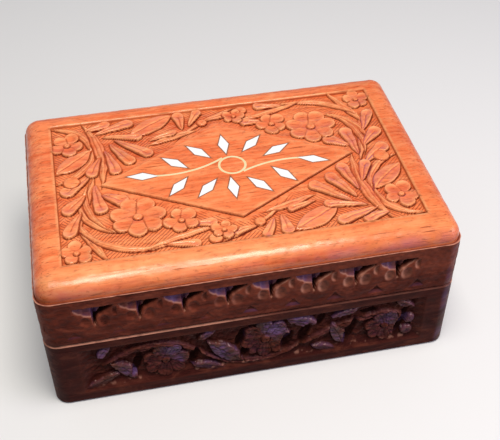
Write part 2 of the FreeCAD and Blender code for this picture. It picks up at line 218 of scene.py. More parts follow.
# Painted highlight on the walls' top edge, fading to the right on the base's front.
SEAM_LIGHT = -20.0, 10.0
SEAM_LIGHT_SHARE = 0.85
SEAM_PALENESS = {"base": (0.9, 0.25), "lid": (1.0, 0.6)}

# Notches of the lid walls, heights above the lid's lower edge
NOTCH_PITCH = 15.6
NOTCH_END_MARGIN = 11.5
NOTCH_SHIFT = -2.4
NOTCH_TOP = 17.2
NOTCH_ROUNDING = 0.7
NOTCH_DEPTH = 3.0
NOTCH_EDGE = [
    (-7.2, 17.2), (-6.4, 15.4), (-5.2, 14.3), (-4.4, 14.1), (-3.6, 13.1), (-2.2, 12.7), (-1.0, 12.4),
    (-0.7, 10.2), (-0.3, 8.0), (0.2, 8.0), (0.6, 11.0), (1.4, 12.4), (2.6, 13.0), (3.6, 14.0),
    (4.6, 14.6), (5.8, 15.6), (6.8, 17.2),
]
NOTCH_LOBES = 11.5
POCKET_EDGE = -0.4
POCKET_LEAN = 0.75
POCKET_FALL = 0.5
SLIT_FALL = 2.4
HEAD_FALL = 5.0
SLIT_SHADE_DEPTHS = 1.0, 1.6
SLIT_SHADE = 0.9
POCKET_FADE = -0.3, 0.0
LIP_LINE = 0.22, -0.1
LIP_PALENESS = 0.8
LIP_SIDE = 0.5
NOTCH_GROUND = 0.12
NOTCH_MARKS = 0.3
NOTCH_WAVES = 1.0, 0.9, 5.0
# Shallow scoops beside a slit: middle, half width and half height
NOTCH_SCOOPS = [(-3.2, 10.4, 2.2, 2.9), (3.2, 10.2, 2.4, 3.2), (7.6, 14.0, 1.9, 2.6)]
SCOOP_DEPTH = 0.6
SCOOP_EDGE = 1.0, 0.375
STREAK_EDGE = 3.2 / 3, 2.2 / 3
STREAK_LINE = 0.35, -0.65
STREAK_LEAST = 0.25
NICK_FOOT = 2.0
NICK_HEAD = 6.2
NICK_RISE = 0.35
NICK_SLANT = 1.3
NICK_DEPTH = 0.7
NICK_LEAST = 0.3
NICK_SHEEN = 0.3
NICK_FADE = 0.2
NICK_SHINE = 1.5
BRIGHT_REACH = -30.0, 30.0
BRIGHT_PALENESS = 0.7
NOTCH_LIGHT = 0.9
LIGHT_HEIGHT = 5.0, 13.0

# Lid carving, one half: root, tip and the bulge of either edge. The other half is turned half a turn.
LID_STEMS = [
    (-64.8, 38.5, -50.3, 19.0, 7.0, -3.6),
    (-49.5, 23.0, -64.8, 4.0, 6.0, -2.9),
    (-52.5, 39.0, -48.0, 0.0, 5.4, -1.2),
    (-50.5, 5.0, -58.6, -24.0, 1.1, 2.0),
    (-59.5, -17.0, -49.0, -40.5, 1.4, 1.8),
    (-58.0, -23.0, -28.0, -36.4, -3.6, 6.4),
    (-36.0, -37.0, -8.0, -29.6, 2.1, 0.5),
    (-57.5, -8.0, -44.5, -26.5, -1.6, 4.8),
    (-53.5, 1.0, -48.0, -24.0, -2.4, 4.8),
    (-9.0, -38.2, 16.0, -22.5, -1.0, 2.6),
]
LID_SMOOTH_LEAVES = [
    (-50.5, 22.0, -64.6, 10.0, 4.2, 3.4),
    (-35.0, 27.5, -16.5, 38.2, 4.4, 3.6),
    (-27.5, 21.0, -8.5, 26.3, 1.6, 1.0),
]
# Leaves that widen to a round tip: root, tip and half width
LID_LEAVES = [
    (-52.0, 6.5, -62.8, -3.0, 2.8),
    (-54.5, -4.0, -62.8, -13.2, 2.7),
    (-57.0, -13.5, -62.6, -25.6, 2.5),
    (-50.8, 1.0, -49.4, -15.6, 2.6),
    (-48.5, -5.0, -39.6, -11.4, 2.8),
    (-29.0, -35.8, -17.0, -37.6, 1.9),
    (-19.0, -26.8, -9.6, -28.4, 2.1),
    (-47.5, 17.0, -52.0, 5.6, 2.3),
    (-45.0, 21.0, -41.6, 5.6, 2.3),
    (-43.0, 25.0, -35.4, 10.6, 2.5),
    (-41.0, 27.0, -27.4, 14.4, 2.3),
    (-52.0, 35.0, -41.6, 37.8, 2.2),
    (-48.5, 32.0, -32.6, 37.0, 2.4),
    (-45.5, 29.8, -29.8, 26.6, 1.8),
    (-27.5, 24.0, -16.4, 27.0, 1.6),
    (-13.8, 28.6, -14.2, 39.4, 2.4),
    (-10.8, 30.0, -5.6, 39.4, 2.0),
    (-4.0, 32.6, 5.2, 34.8, 1.6),
]

# Round buds: middle and radius
LID_BUDS = [(-11.6, -36.2, 2.4), (-5.3, 31.0, 2.0), (-59.0, 4.0, 3.0)]

# Flowers: middle, radius, count of petals and turn in degrees
LID_FLOWERS = [
    (-37.0, -19.7, 9.8, 7, 4),
    (-22.0, -24.6, 6.4, 5, 40),
    (-59.3, 27.0, 6.8, 5, 60),
    (-59.8, -34.0, 5.8, 5, 20),
    (-8.0, -32.6, 4.6, 5, 0),
]

# Vine of a long base wall, from the wall's middle and the foot
VINE_STEMS = [
    (-58.0, 17.0, -17.0, 13.0, 11.0, -7.8),
    (-21.0, 16.0, 18.0, 12.5, -5.5, 8.4),
    (17.0, 11.5, 46.0, 21.0, 3.6, -0.8),
    (40.0, 21.5, 62.0, 12.0, 6.2, -3.8),
]
VINE_LEAVES = [
    (-50.5, 12.5, -64.5, 6.4, 1.9, 2.2),
    (-54.5, 18.5, -45.2, 7.4, 3.8, 1.4),
    (-58.5, 22.0, -53.5, 28.2, 1.8, 1.6),
    (-18.5, 21.5, -5.0, 7.6, 3.6, 3.4),
    (-22.0, 23.5, -15.0, 28.2, 1.7, 1.5),
    (-25.5, 10.5, -12.0, 6.0, 2.4, 1.8),
    (11.0, 27.8, 24.0, 22.2, 2.3, 2.9),
    (29.0, 20.5, 34.2, 8.0, 2.9, 2.8),
    (21.5, 9.5, 31.0, 6.4, 1.9, 1.7),
    (40.0, 27.4, 28.5, 24.4, 1.7, 1.5),
    (53.5, 27.6, 61.5, 23.0, 1.6, 1.8),
]
VINE_FLOWERS = [
    (-34.0, 15.5, 9.2, 7, 10),
    (3.5, 18.0, 9.8, 8, 0),
    (50.0, 15.0, 8.4, 7, 20),
]
VINE_BUDS = [(59.6, 16.6, 2.3), (59.2, 10.4, 2.4)]

# Deep holes in the vine: middle, half width and half height
VINE_HOLES = [
    (-44.6, 15.5, 1.6, 5.2),
    (-23.6, 14.5, 1.9, 4.4),
    (-6.2, 20.0, 1.5, 4.4),
    (-4.5, 12.0, 1.4, 2.6),
    (11.8, 15.0, 2.2, 4.2),
    (18.5, 17.6, 2.0, 4.8),
    (24.6, 23.6, 1.5, 3.4),
    (36.4, 14.6, 2.0, 6.4),
    (43.0, 23.8, 3.0, 1.1),
    (56.6, 15.0, 1.6, 8.0),
]

# Turns of the walls round the box, in quarters from the front
SIDES = {"front": 0, "right": 1, "back": 2, "left": 3}


def ramp(value, start=0, end=1):
    """Rise from 0 at the start to 1 at the end, level at both: 3 s^2 - 2 s^3 for the share s of the way. A
    start above the end makes it a fall."""
    share = np.clip((value - start) / (end - start), 0, 1)
    return share * share * (3 - 2 * share)


def bell(way, width, place=0.0):
    """Bell curve, 1 at its place: exp(-((way - place) / width)^2)."""
    return np.exp(-(((way - place) / width) ** 2))


def ripple(way, pitch, turn=0.0):
    """Wave between 0 and 1 that repeats at a pitch: half of 1 + cos."""
    return 0.5 + 0.5 * np.cos(2 * math.pi * way / pitch + turn)


def soften(field, reach):
    """Field averaged over a square of 2 reach + 1 cells, its edges repeated, by running sums on each axis."""
    size = 2 * reach + 1
    for axis in (0, 1):
        pads = [(reach + 1, reach) if way == axis else (0, 0) for way in (0, 1)]
        total = np.moveaxis(np.cumsum(np.pad(field, pads, mode="edge"), axis=axis), axis, 0)
        field = np.moveaxis((total[size:] - total[:-size]) / size, 0, axis)
    return field


def hand_marks(u, v):
    """Uneven tool marks: sine waves of three lengths in turned directions, multiplied and added."""
    long_wave = np.sin(0.52 * u + 0.3 * v + 1.3 * np.sin(0.21 * u))
    cross_wave = np.sin(1.1 * v - 0.45 * u + 0.9 * np.sin(0.37 * u + 0.5 * v))
    short_waves = np.sin(2.1 * u + 0.8 * v) * np.sin(1.9 * v - 0.6 * u)
    return LONG_MARK * long_wave * cross_wave + SHORT_MARK * short_waves


def crossed_marks(u, v, fine, coarse, shift):
    """Tool marks at a fine rate and, with the two ways exchanged and shifted, at a coarse one."""
    return hand_marks(fine * u, fine * v) + hand_marks(coarse * v + shift, coarse * u)


def wobble(x, y):
    """Places moved a little by long waves, so that drawn curves look cut by hand."""
    shift_x = np.sin(0.43 * y + 0.17 * x) + np.sin(0.9 * y - 0.3 * x + 1.0)
    shift_y = np.sin(0.39 * x - 0.21 * y + 2.0) + np.sin(0.8 * x + 0.4 * y)
    return x + WOBBLE * shift_x, y + WOBBLE * shift_y


def new_carving(xs, ys, ground):
    """Carving on a grid: its relief, painted shade along the cuts, polish with painted violet sheen on the
    leaves, painted highlights on edges, and painted light.
    """
    layers = {label: np.zeros(ground.shape) for label in ("line", "polish_and_sheen", "arris", "painted_light")}
    return layers | {"xs": xs, "ys": ys, "relief": ground}


def lay_over(carving, part, inside, crown, polish_and_sheen=0.0, line_shade=1.0, cut=1.0):
    """Ornament laid over a carving. Outside its edge a V cut rises evenly from its floor and the relief keeps
    the lower of the two. Over the edge's width it changes smoothly to the ornament's own crown. The cut is
    deepest on the ornament's lower or front side, and the dark line along it is painted shade, darkest
    there; the last two arguments are shares of the usual darkness of that shade and of the usual depth.
    An ornament off the grid is left out."""
    if min(inside.shape) < 2:
        return
    relief, line = carving["relief"][part], carving["line"][part]
    lean = np.gradient(inside, axis=1)
    lean = lean / np.maximum(np.hypot(lean, np.gradient(inside, axis=0)), TINY)
    front = ramp(FRONT_LEVEL + FRONT_LEAN * lean)
    depth = BACK_CUT_DEPTH + (CUT_DEPTH - BACK_CUT_DEPTH) * front
    groove = -cut * depth + CUT_RISE * np.maximum(0, -inside - CUT_FLOOR)
    under = np.minimum(relief, groove)
    cover = ramp(inside, -EDGE_WIDTH, EDGE_WIDTH)
    # The line is painted shade: colour darkened along the cut, most on a wall's lower side and the lid's
    # front side.
    fade = bell(np.maximum(0, -inside - LINE_WIDTH), LINE_WIDTH) * (1 - ramp(LINE_LAP + inside / LINE_WIDTH))
    shade = line_shade * (BACK_SHADE + (1 - BACK_SHADE) * front) * fade
    carving["relief"][part] = under + (crown - under) * cover
    carving["line"][part] = np.maximum(line * (1 - cover), shade)
    carving["polish_and_sheen"][part] += (polish_and_sheen - carving["polish_and_sheen"][part]) * cover


def window(carving, low, high, reach):
    """Part of a carving that an ornament between two corners takes up with its reach and its cut: the part's
    index and its places."""
    xs, ys = carving["xs"], carving["ys"]
    reach = reach + CUT_ROOM
    columns = slice(*np.searchsorted(xs, (low[0] - reach, high[0] + reach)))
    rows = slice(*np.searchsorted(ys, (low[1] - reach, high[1] + reach)))
    return (columns, rows), *np.meshgrid(xs[columns], ys[rows], indexing="ij")


def blade_places(x, y, blade):
    """Places in a blade: way s from root to tip, way w across from the blade's middle line, half width and
    the distance in from the nearer edge. Either edge is a parabola on the chord: 4 s (1 - s) times its
    bulge."""
    root_x, root_y, tip_x, tip_y, left, right = blade
    length = math.hypot(tip_x - root_x, tip_y - root_y)
    along_x, along_y = (tip_x - root_x) / length, (tip_y - root_y) / length
    s = ((x - root_x) * along_x + (y - root_y) * along_y) / length
    w = (y - root_y) * along_x - (x - root_x) * along_y
    rise = 4 * s * (1 - s)
    w = w - (left - right) / 2 * rise
    half = (left + right) / 2 * rise
    edge_slope = np.where(w > 0, left, right) * 4 * (1 - 2 * s) / length
    return s * length, w * np.sign(along_x), half, (half - np.abs(w)) / np.hypot(1, edge_slope)


def score(carving, part, across, share):
    """Fine line of painted shade scored along an ornament where the way across is nought."""
    line = carving["line"][part]
    carving["line"][part] = np.maximum(line, SCORE_SHADE * share * bell(across, SCORE_WIDTH))


def carve_blade(carving, blade, kind):
    """Stem, smooth leaf or veined leaf, its crown falling with the square of the way across. A stem has two
    fine grooves. A leaf is hollowed on its front half, has a groove along its middle and, if veined, slanted
    ripples."""
    ends = np.reshape(blade[:4], (2, 2))
    part, x, y = window(carving, ends.min(0), ends.max(0), max(abs(blade[4]), abs(blade[5])))
    s, w, half, inside = blade_places(*wobble(x, y), blade)
    across = np.clip(w / np.maximum(half, LEAST_HALF), -1, 1)
    top, fall, polish_and_sheen = BLADES[kind]
    crown = -top - fall * across ** 2
    if kind == "stem":
        beside = np.abs(across) - STEM_GROOVE_PLACE
        crown = crown - STEM_GROOVE * bell(beside, STEM_GROOVE_WIDTH)
    else:
        hollow = np.clip(-across, 0, 1)
        crown = crown - BLADE_HOLLOW * hollow * (BLADE_LIP - hollow)
        crown = crown - BLADE_GROOVE * bell(w, BLADE_GROOVE_WIDTH)
    if kind == "veined":
        crown = crown - VEIN_DEPTH * ripple(s - VEIN_SLANT * np.abs(w), VEIN_PITCH) * np.abs(across)
    lay_over(carving, part, inside, crown, polish_and_sheen)
    score(carving, part, beside * half if kind == "stem" else w, ramp(inside, *SCORE_FADE))


def carve_petal(carving, root, length, half, turn, fall=1.0, crease=0.0, polish_and_sheen=0.3, rib=0.0, line_shade=1.0):
    """Petal or leaf that widens from its root to a round tip. Its surface is a dish under a level rim: it
    sinks towards the root and towards the middle of the round end. A leaf has a crease along it, a ribbed
    petal several."""
    part, x, y = window(carving, root, root, length)
    x, y = wobble(x, y)
    x, y = x - root[0], y - root[1]
    out = x * math.cos(turn) + y * math.sin(turn)
    w = y * math.cos(turn) - x * math.sin(turn)
    ring = length - half
    way = np.hypot(out - ring, w)
    waist = half * np.clip(out / ring, 0, 1) ** PETAL_FLARE - np.abs(w)
    below = np.where(out > 0, PETAL_SLANT * waist, -np.hypot(out, w))
    inside = np.where(out > ring, half - way, below)
    sink = np.clip(1 - out / length, 0, 1)
    dish = DISH_SHARE * half * np.clip(1 - (way / half) ** 2, 0, 1)
    share = ramp(length - CREASE_END * half - out, 0, half)
    crown = -PETAL_TOP - fall * sink ** PETAL_SINK - dish - crease * bell(w, CREASE_WIDTH) * share
    lay_over(carving, part, inside, crown - rib * ripple(w, RIB_PITCH, turn), polish_and_sheen, line_shade)
    if crease:
        score(carving, part, w, share * ramp(inside, *CREASE_FADE))


def carve_leaf(carving, leaf):
    """Leaf with a round tip: root, tip and half width."""
    root_x, root_y, tip_x, tip_y, half = leaf
    length = math.hypot(tip_x - root_x, tip_y - root_y)
    turn = math.atan2(tip_y - root_y, tip_x - root_x)
    carve_petal(carving, (root_x, root_y), length, half, turn, **ROUND_LEAF)


def carve_button(carving, button, polish_and_sheen=0.0):
    """Round bud with a dimple: middle and radius."""
    *middle, radius = button
    part, x, y = window(carving, middle, middle, radius)
    way = np.hypot(x - middle[0], y - middle[1])
    crown = -BUD_TOP - BUD_FALL * (way / radius) ** 2 - BUD_DIMPLE * bell(way, BUD_DIMPLE_SHARE * radius)
    lay_over(carving, part, radius - way, crown, polish_and_sheen)


def carve_hole(carving, hole):
    """Deep oval hole between the forms, painted dark as shade; its depth falls off smoothly from the middle.
    """
    middle_x, middle_y, half_wide, half_high = hole
    x, y = np.meshgrid(carving["xs"] - middle_x, carving["ys"] - middle_y, indexing="ij")
    share = ramp(np.hypot((x - HOLE_SLANT * y) / half_wide, y / half_high), *HOLE_EDGE)
    carving["relief"] += (-HOLE_DEPTH - carving["relief"]) * share
    carving["line"] = np.maximum(carving["line"], share)


def carve_flower(carving, flower, polish_and_sheen=0.3, upward=0.0, rib=0.0, line_shade=1.0):
    """Ring of petals laid one over the next, the front ones last, then a round button in the middle. A whim
    makes the petals a little uneven. Those that point up and to the right get the upward share of polish
    and of its painted violet sheen."""
    x, y, radius, count, turn = flower
    lap = PETAL_LAP * math.sin(math.pi / count)
    half = radius * lap / (1 + lap)
    turns = [math.radians(turn) + 2 * math.pi * index / count for index in range(count)]
    for angle in sorted(turns, key=math.sin, reverse=True):
        whim = math.sin(7 * angle + 0.6 * x + 1.1 * y)
        longer, wider, askew = (share * whim for share in PETAL_WHIM)
        shine = polish_and_sheen + upward * max(math.cos(angle - UPWARD), 0)
        carve_petal(carving, (x, y), radius * (1 + longer), half * (1 + wider), angle + askew,
                    polish_and_sheen=shine, rib=rib, line_shade=line_shade)
    carve_button(carving, (x, y, BUTTON_SHARE * radius))


def both_halves(ornaments, places):
    """Ornaments of one half of the lid and the same turned half a turn; their first values are places."""
    return ornaments + [tuple(-value for value in one[:places]) + one[places:] for one in ornaments]


def chip_gap(x, y):
    """Distance out from the nearest four-cornered chip: the greatest distance past any of its sides."""
    gap = np.full(x.shape, FAR)
    for name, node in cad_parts.items():
        if not name.startswith("inlay_leaf"):
            continue
        places = np.zeros(3 * len(node.data.vertices), np.float32)
        node.data.vertices.foreach_get("co", places)
        places = places.astype(float).reshape(-1, 3)[:, :2] / MM
        points = np.unique(places.round(3), axis=0)
        points = points[np.argsort(np.arctan2(*(points - points.mean(0)).T[::-1]))]
        past = np.full(x.shape, -FAR)
        for start, end in zip(points, np.roll(points, -1, axis=0)):
            way = (end - start) / np.linalg.norm(end - start)
            past = np.maximum(past, (x - start[0]) * way[1] - (y - start[1]) * way[0])
        gap = np.minimum(gap, past)
    return gap


def lid_carving(xs, ys):
    """Carving of the lid's field: a tooled ground that rises towards the plain lozenge, then stems, leaves,
    buds and flowers laid over each other. The lozenge's two front edges are cut again last, and the ground
    climbs steeply to the plain rim."""
    x, y = np.meshgrid(xs, ys, indexing="ij")
    whole = slice(None), slice(None)
    half_length, half_width = LOZENGE_LENGTH / 2, LOZENGE_WIDTH / 2
    share = 1 - np.abs(x) / half_length - np.abs(y) / half_width
    inside = share * half_length * half_width / math.hypot(half_length, half_width)
    bank = LOZENGE_BANK * bell(inside, LOZENGE_BANK_WIDTH)
    carving = new_carving(xs, ys, -GROUND_DEPTH + GROUND_MARKS * hand_marks(x, y) + bank)
    lay_over(carving, whole, inside, -LOZENGE_SINK, cut=LOZENGE_CUT)
    for blade in both_halves(LID_STEMS, 4):
        carve_blade(carving, blade, "stem")
    for blade in both_halves(LID_SMOOTH_LEAVES, 4):
        carve_blade(carving, blade, "smooth")
    for leaf in both_halves(LID_LEAVES, 4):
        carve_leaf(carving, leaf)
    for bud in both_halves(LID_BUDS, 2):
        carve_button(carving, bud)
    for flower in both_halves(LID_FLOWERS, 2):
        carve_flower(carving, flower)
    front = np.where(y < LOZENGE_FRONT, inside, np.minimum(inside, -LOZENGE_AWAY))
    lay_over(carving, whole, front, -LOZENGE_SINK, cut=LOZENGE_CUT)
    edge = np.minimum(FIELD[0] - np.abs(x), FIELD[1] - np.abs(y))
    relief = np.maximum(carving["relief"], -BORDER_STEEPNESS * np.maximum(edge, 0))
    # Painted shade along the field's border, where the ground climbs to the rim.
    line = np.maximum(carving["line"], BORDER_SHADE * bell(edge, *BORDER_LINE))
    bare = ramp(-relief, *HATCHED_DEPTH) * (line < HATCHED_SHADE_LIMIT)
    bare *= 1 - np.clip(carving["polish_and_sheen"] / HATCHED_SHEEN, 0, 1)
    glue = bell(chip_gap(x, y), *GLUE_LINE)
    return carving | {"relief": relief, "line": line, "ground": bare, "glue": glue}


def vine_carving(us, zs, half_length):
    """Carving of a base wall: a sunk band, stems, leaves, flowers and buds laid over each other, then deep
    holes painted dark as shade and a row of short painted glints along the foot. A short wall takes the
    ornaments from the long wall's middle."""
    u, z = np.meshgrid(us, zs, indexing="ij")
    soft_edge = np.minimum(half_length - BAND_MARGIN - np.abs(u), z - BAND_FOOT)
    edge = np.minimum(BAND_HEAD - z, SOFT_EDGE * soft_edge)
    carving = new_carving(us, zs, -BAND_DEPTH + hand_marks(u, z))
    for stem in VINE_STEMS:
        carve_blade(carving, stem, "stem")
    for leaf in VINE_LEAVES:
        carve_blade(carving, leaf, "veined")
    for flower in VINE_FLOWERS:
        carve_flower(carving, flower, **VINE_PETALS)
    for bud in VINE_BUDS:
        carve_button(carving, bud, VINE_BUD_SHEEN)
    for hole in VINE_HOLES:
        carve_hole(carving, hole)
    relief = np.where(edge > 0, np.maximum(carving["relief"], -BORDER_STEEPNESS * edge), 0)
    rough = ROUGH_CUT * np.clip(edge, 0, 1) * crossed_marks(u, z, *ROUGH_WAVES)
    carving["relief"] = np.minimum(relief + rough, 0)
    carving["line"] *= ramp(edge)
    carving["polish_and_sheen"] *= ramp(edge)
    # Painted glints in short dashes along the band's foot.
    strokes = ramp(hand_marks(STROKE_RATE * u, z), *STROKE_LEVEL) * bell(z, *STROKE_LINE)
    carving["arris"] = STROKE_PALENESS * strokes * ramp(soft_edge, 0, STROKE_FADE)
    return carving


def notch_carving(us, zs, half_length):
    """Carving of a lid wall: funnels at an even pitch, a nick between neighbours and shallow scoops beside
    each slit. A funnel's lower edge steps up in rounded lobes on either side of the slit. Its floor sinks
    gently from the left edge and steeply from the right one, and meets a steep wall under its straight top.
    Towards the right the wall is painted paler, standing in for light from the right, and the scoops have
    painted pale streaks. The slits are painted dark as shade, the funnels' lower edges have a painted
    highlight, and the funnel floors and nicks a painted violet sheen."""
    u, z = np.meshgrid(us - NOTCH_SHIFT, zs - LID_FOOT, indexing="ij")
    count = int((2 * half_length - 2 * NOTCH_END_MARGIN) / NOTCH_PITCH)
    notch_row, nick_row = count * NOTCH_PITCH / 2, (count + 1) * NOTCH_PITCH / 2
    in_row = np.abs(u) < notch_row
    from_slit = np.mod(u + notch_row, NOTCH_PITCH) - NOTCH_PITCH / 2
    from_nick = np.mod(u + nick_row, NOTCH_PITCH) - NOTCH_PITCH / 2
    bright = ramp(u, *BRIGHT_REACH)
    above = z - np.interp(from_slit, *np.transpose(NOTCH_EDGE), left=FAR, right=FAR)
    above = np.where(in_row, above, -FAR)
    on_floor = from_slit < POCKET_EDGE + POCKET_LEAN * np.maximum(z - NOTCH_LOBES, 0)
    fall = np.where(on_floor, POCKET_FALL, SLIT_FALL) * above
    rounding = NOTCH_ROUNDING * np.exp(np.minimum(above, 0) / NOTCH_ROUNDING)
    deepest = np.minimum(NOTCH_DEPTH, HEAD_FALL * np.maximum(NOTCH_TOP - z, 0))
    depth = np.minimum(rounding + np.maximum(fall, 0), deepest)
    nick = np.minimum(NICK_RISE * (z - NICK_FOOT), NICK_HEAD - z - NICK_SLANT * np.abs(from_nick))
    nick = np.where(np.abs(u) < nick_row, np.minimum(nick, NICK_DEPTH), 0)
    nick = nick * (NICK_LEAST + (1 - NICK_LEAST) * bright)
    scoop, streaks = np.zeros(u.shape), np.zeros(u.shape)
    for place, height, half_wide, half_high in NOTCH_SCOOPS:
        across, up = (from_slit - place) / half_wide, (z - height) / half_high
        way = np.where(in_row, np.hypot(across, up), FAR)
        scoop = np.maximum(scoop, SCOOP_DEPTH * ramp(way, *SCOOP_EDGE))
        streak = STREAK_LEAST + (1 - STREAK_LEAST) * bell(across, *STREAK_LINE)
        streaks = np.maximum(streaks, streak * ramp(way, *STREAK_EDGE))
    rough = NOTCH_MARKS * crossed_marks(u, z, *NOTCH_WAVES) - NOTCH_GROUND
    deep = np.maximum(np.maximum(depth, nick), scoop)
    carving = new_carving(us, zs, np.minimum(rough - deep, 0))
    # Painted shade in the deep slits.
    carving["line"] = SLIT_SHADE * ramp(depth, *SLIT_SHADE_DEPTHS) * (1 - on_floor)
    # Painted highlight on the funnels' lower edges, and painted pale streaks, stronger to the right.
    lip = bell(above, *LIP_LINE) * (z < NOTCH_TOP - 1)
    pale = BRIGHT_PALENESS * np.maximum(lip, streaks) * bright
    carving["arris"] = np.maximum(LIP_PALENESS * lip * (from_slit < LIP_SIDE), pale)
    # Painted light that grows towards the right and upwards.
    carving["painted_light"] = NOTCH_LIGHT * bright * ramp(z, *LIGHT_HEIGHT)
    # Painted violet sheen on the funnel floors and the nicks.
    carving["polish_and_sheen"] = ramp(above, *POCKET_FADE) * on_floor * (z < NOTCH_TOP)
    carving["polish_and_sheen"] += NICK_SHEEN * ramp(nick, 0, NICK_FADE) * (z < NICK_FOOT + NICK_SHINE)
    return carving


def carving_marks(carving, step, level, glint=0.0, face_light=0.0):
    """Marks for the colour of a carving. The cut mark is painted shade in the cuts and hollows. Where the
    relief stands above its surroundings it is paler, partly rubbed wear and partly painted highlight; the
    carving's own painted light adds to that. Polish and its painted violet sheen are strongest on faces
    that look up on a wall and back on the lid; level is their share on an even face. Glint is a painted
    glint on steep faces of that kind, and the last share a painted highlight on polished faces that look
    the other way."""
    relief, line, polish_and_sheen = carving["relief"], carving["line"], carving["polish_and_sheen"]
    reach = round(RUB_REACH / step)
    rise = relief - soften(soften(relief, reach), reach)
    climb = -np.gradient(relief, step, axis=1)
    facing = face_light * ramp(-climb, 0, FACE_SLOPE) * np.clip(FACE_SHEEN_SCALE * polish_and_sheen, 0, 1) * (1 - line)
    marks = {
        "cut": np.maximum(line, HOLLOW_SHADE * ramp(-rise, 0, HOLLOW_DEPTH)),
        "rub_and_highlight": np.clip(rise / RUB_HEIGHT + carving["painted_light"] + facing, 0, 1),
        "sheen": polish_and_sheen * ramp(level + SHEEN_CLIMB * climb),
        "arris": carving["arris"],
        "glint": glint * ramp(climb, *GLINT_CLIMB) * np.clip(polish_and_sheen, 0, 1),
    }
    return marks | {label: carving[label] for label in ("ground", "glue") if label in carving}


def cell_corners(index):
    """Corners of the cells in a table of vertex numbers, turning from the first way to the second."""
    cells = [index[:-1, :-1], index[1:, :-1], index[1:, 1:], index[:-1, 1:]]
    return np.stack(cells, -1).reshape(-1, 4)


def round_table(shape):
    """Table of vertex numbers, and the same closed by repeating its first column."""
    index = np.arange(shape[0] * shape[1]).reshape(shape)
    return index, np.concatenate([index, index[:, :1]], 1)


def new_piece(name, points, smooth, flat, caps, marks):
    """Mesh object from points in millimetres, smooth and flat four-cornered faces, flat caps with sharp edges
    and values per point."""
    mesh = bpy.data.meshes.new(name)
    faces = np.concatenate([smooth.reshape(-1, 4), flat.reshape(-1, 4)])
    loops = np.concatenate([faces.ravel()] + caps)
    sizes = np.concatenate([np.full(len(faces), 4), [len(cap) for cap in caps]]).astype(int)
    mesh.vertices.add(len(points))
    mesh.vertices.foreach_set("co", (points * MM).astype(np.float32).ravel())
    mesh.loops.add(len(loops))
    mesh.loops.foreach_set("vertex_index", loops.astype(np.int32))
    mesh.polygons.add(len(sizes))
    mesh.polygons.foreach_set("loop_start", (np.cumsum(sizes) - sizes).astype(np.int32))
    mesh.polygons.foreach_set("use_smooth", np.arange(len(sizes)) < len(smooth))
    for label, values in marks.items():
        layer = mesh.attributes.new(label, "FLOAT", "POINT")
        layer.data.foreach_set("value", values.astype(np.float32).ravel())
    mesh.update(calc_edges=True)
    mesh.validate()
    ends = np.zeros(2 * len(mesh.edges), np.int32)
    mesh.edges.foreach_get("vertices", ends)
    on_cap = np.isin(np.arange(len(points)), np.concatenate(caps))
    mesh.edges.foreach_set("use_edge_sharp", on_cap[ends.reshape(-1, 2)].all(1))
    piece = bpy.data.objects.new(name, mesh)
    bpy.context.scene.collection.objects.link(piece)
    return piece


def board_outline(points, inset):
    """Perimeter of the field carried out to the board's rounded outline at an inset from its edge. Each point
    is scaled to the outline's box, and in a corner the way along the box's edge becomes an angle up to 45
    degrees."""
    half = BOARD_HIGH[:2] - inset
    radius = max(BOARD_CORNER - inset, LEAST_RADIUS)
    scaled = points / FIELD * half
    way = np.clip((np.abs(scaled) - (half - radius)) / radius, 0, 1)
    on_end = np.abs(points[:, 0]) > FIELD[0] - TINY
    angle = np.where(on_end, way[:, 1], 2 - way[:, 0]) * math.pi / 4
    bend = half - radius + radius * np.stack([np.cos(angle), np.sin(angle)], -1)
    in_corner = (way > 0).all(-1)[:, None]
    return np.where(in_corner, np.sign(points) * bend, scaled)


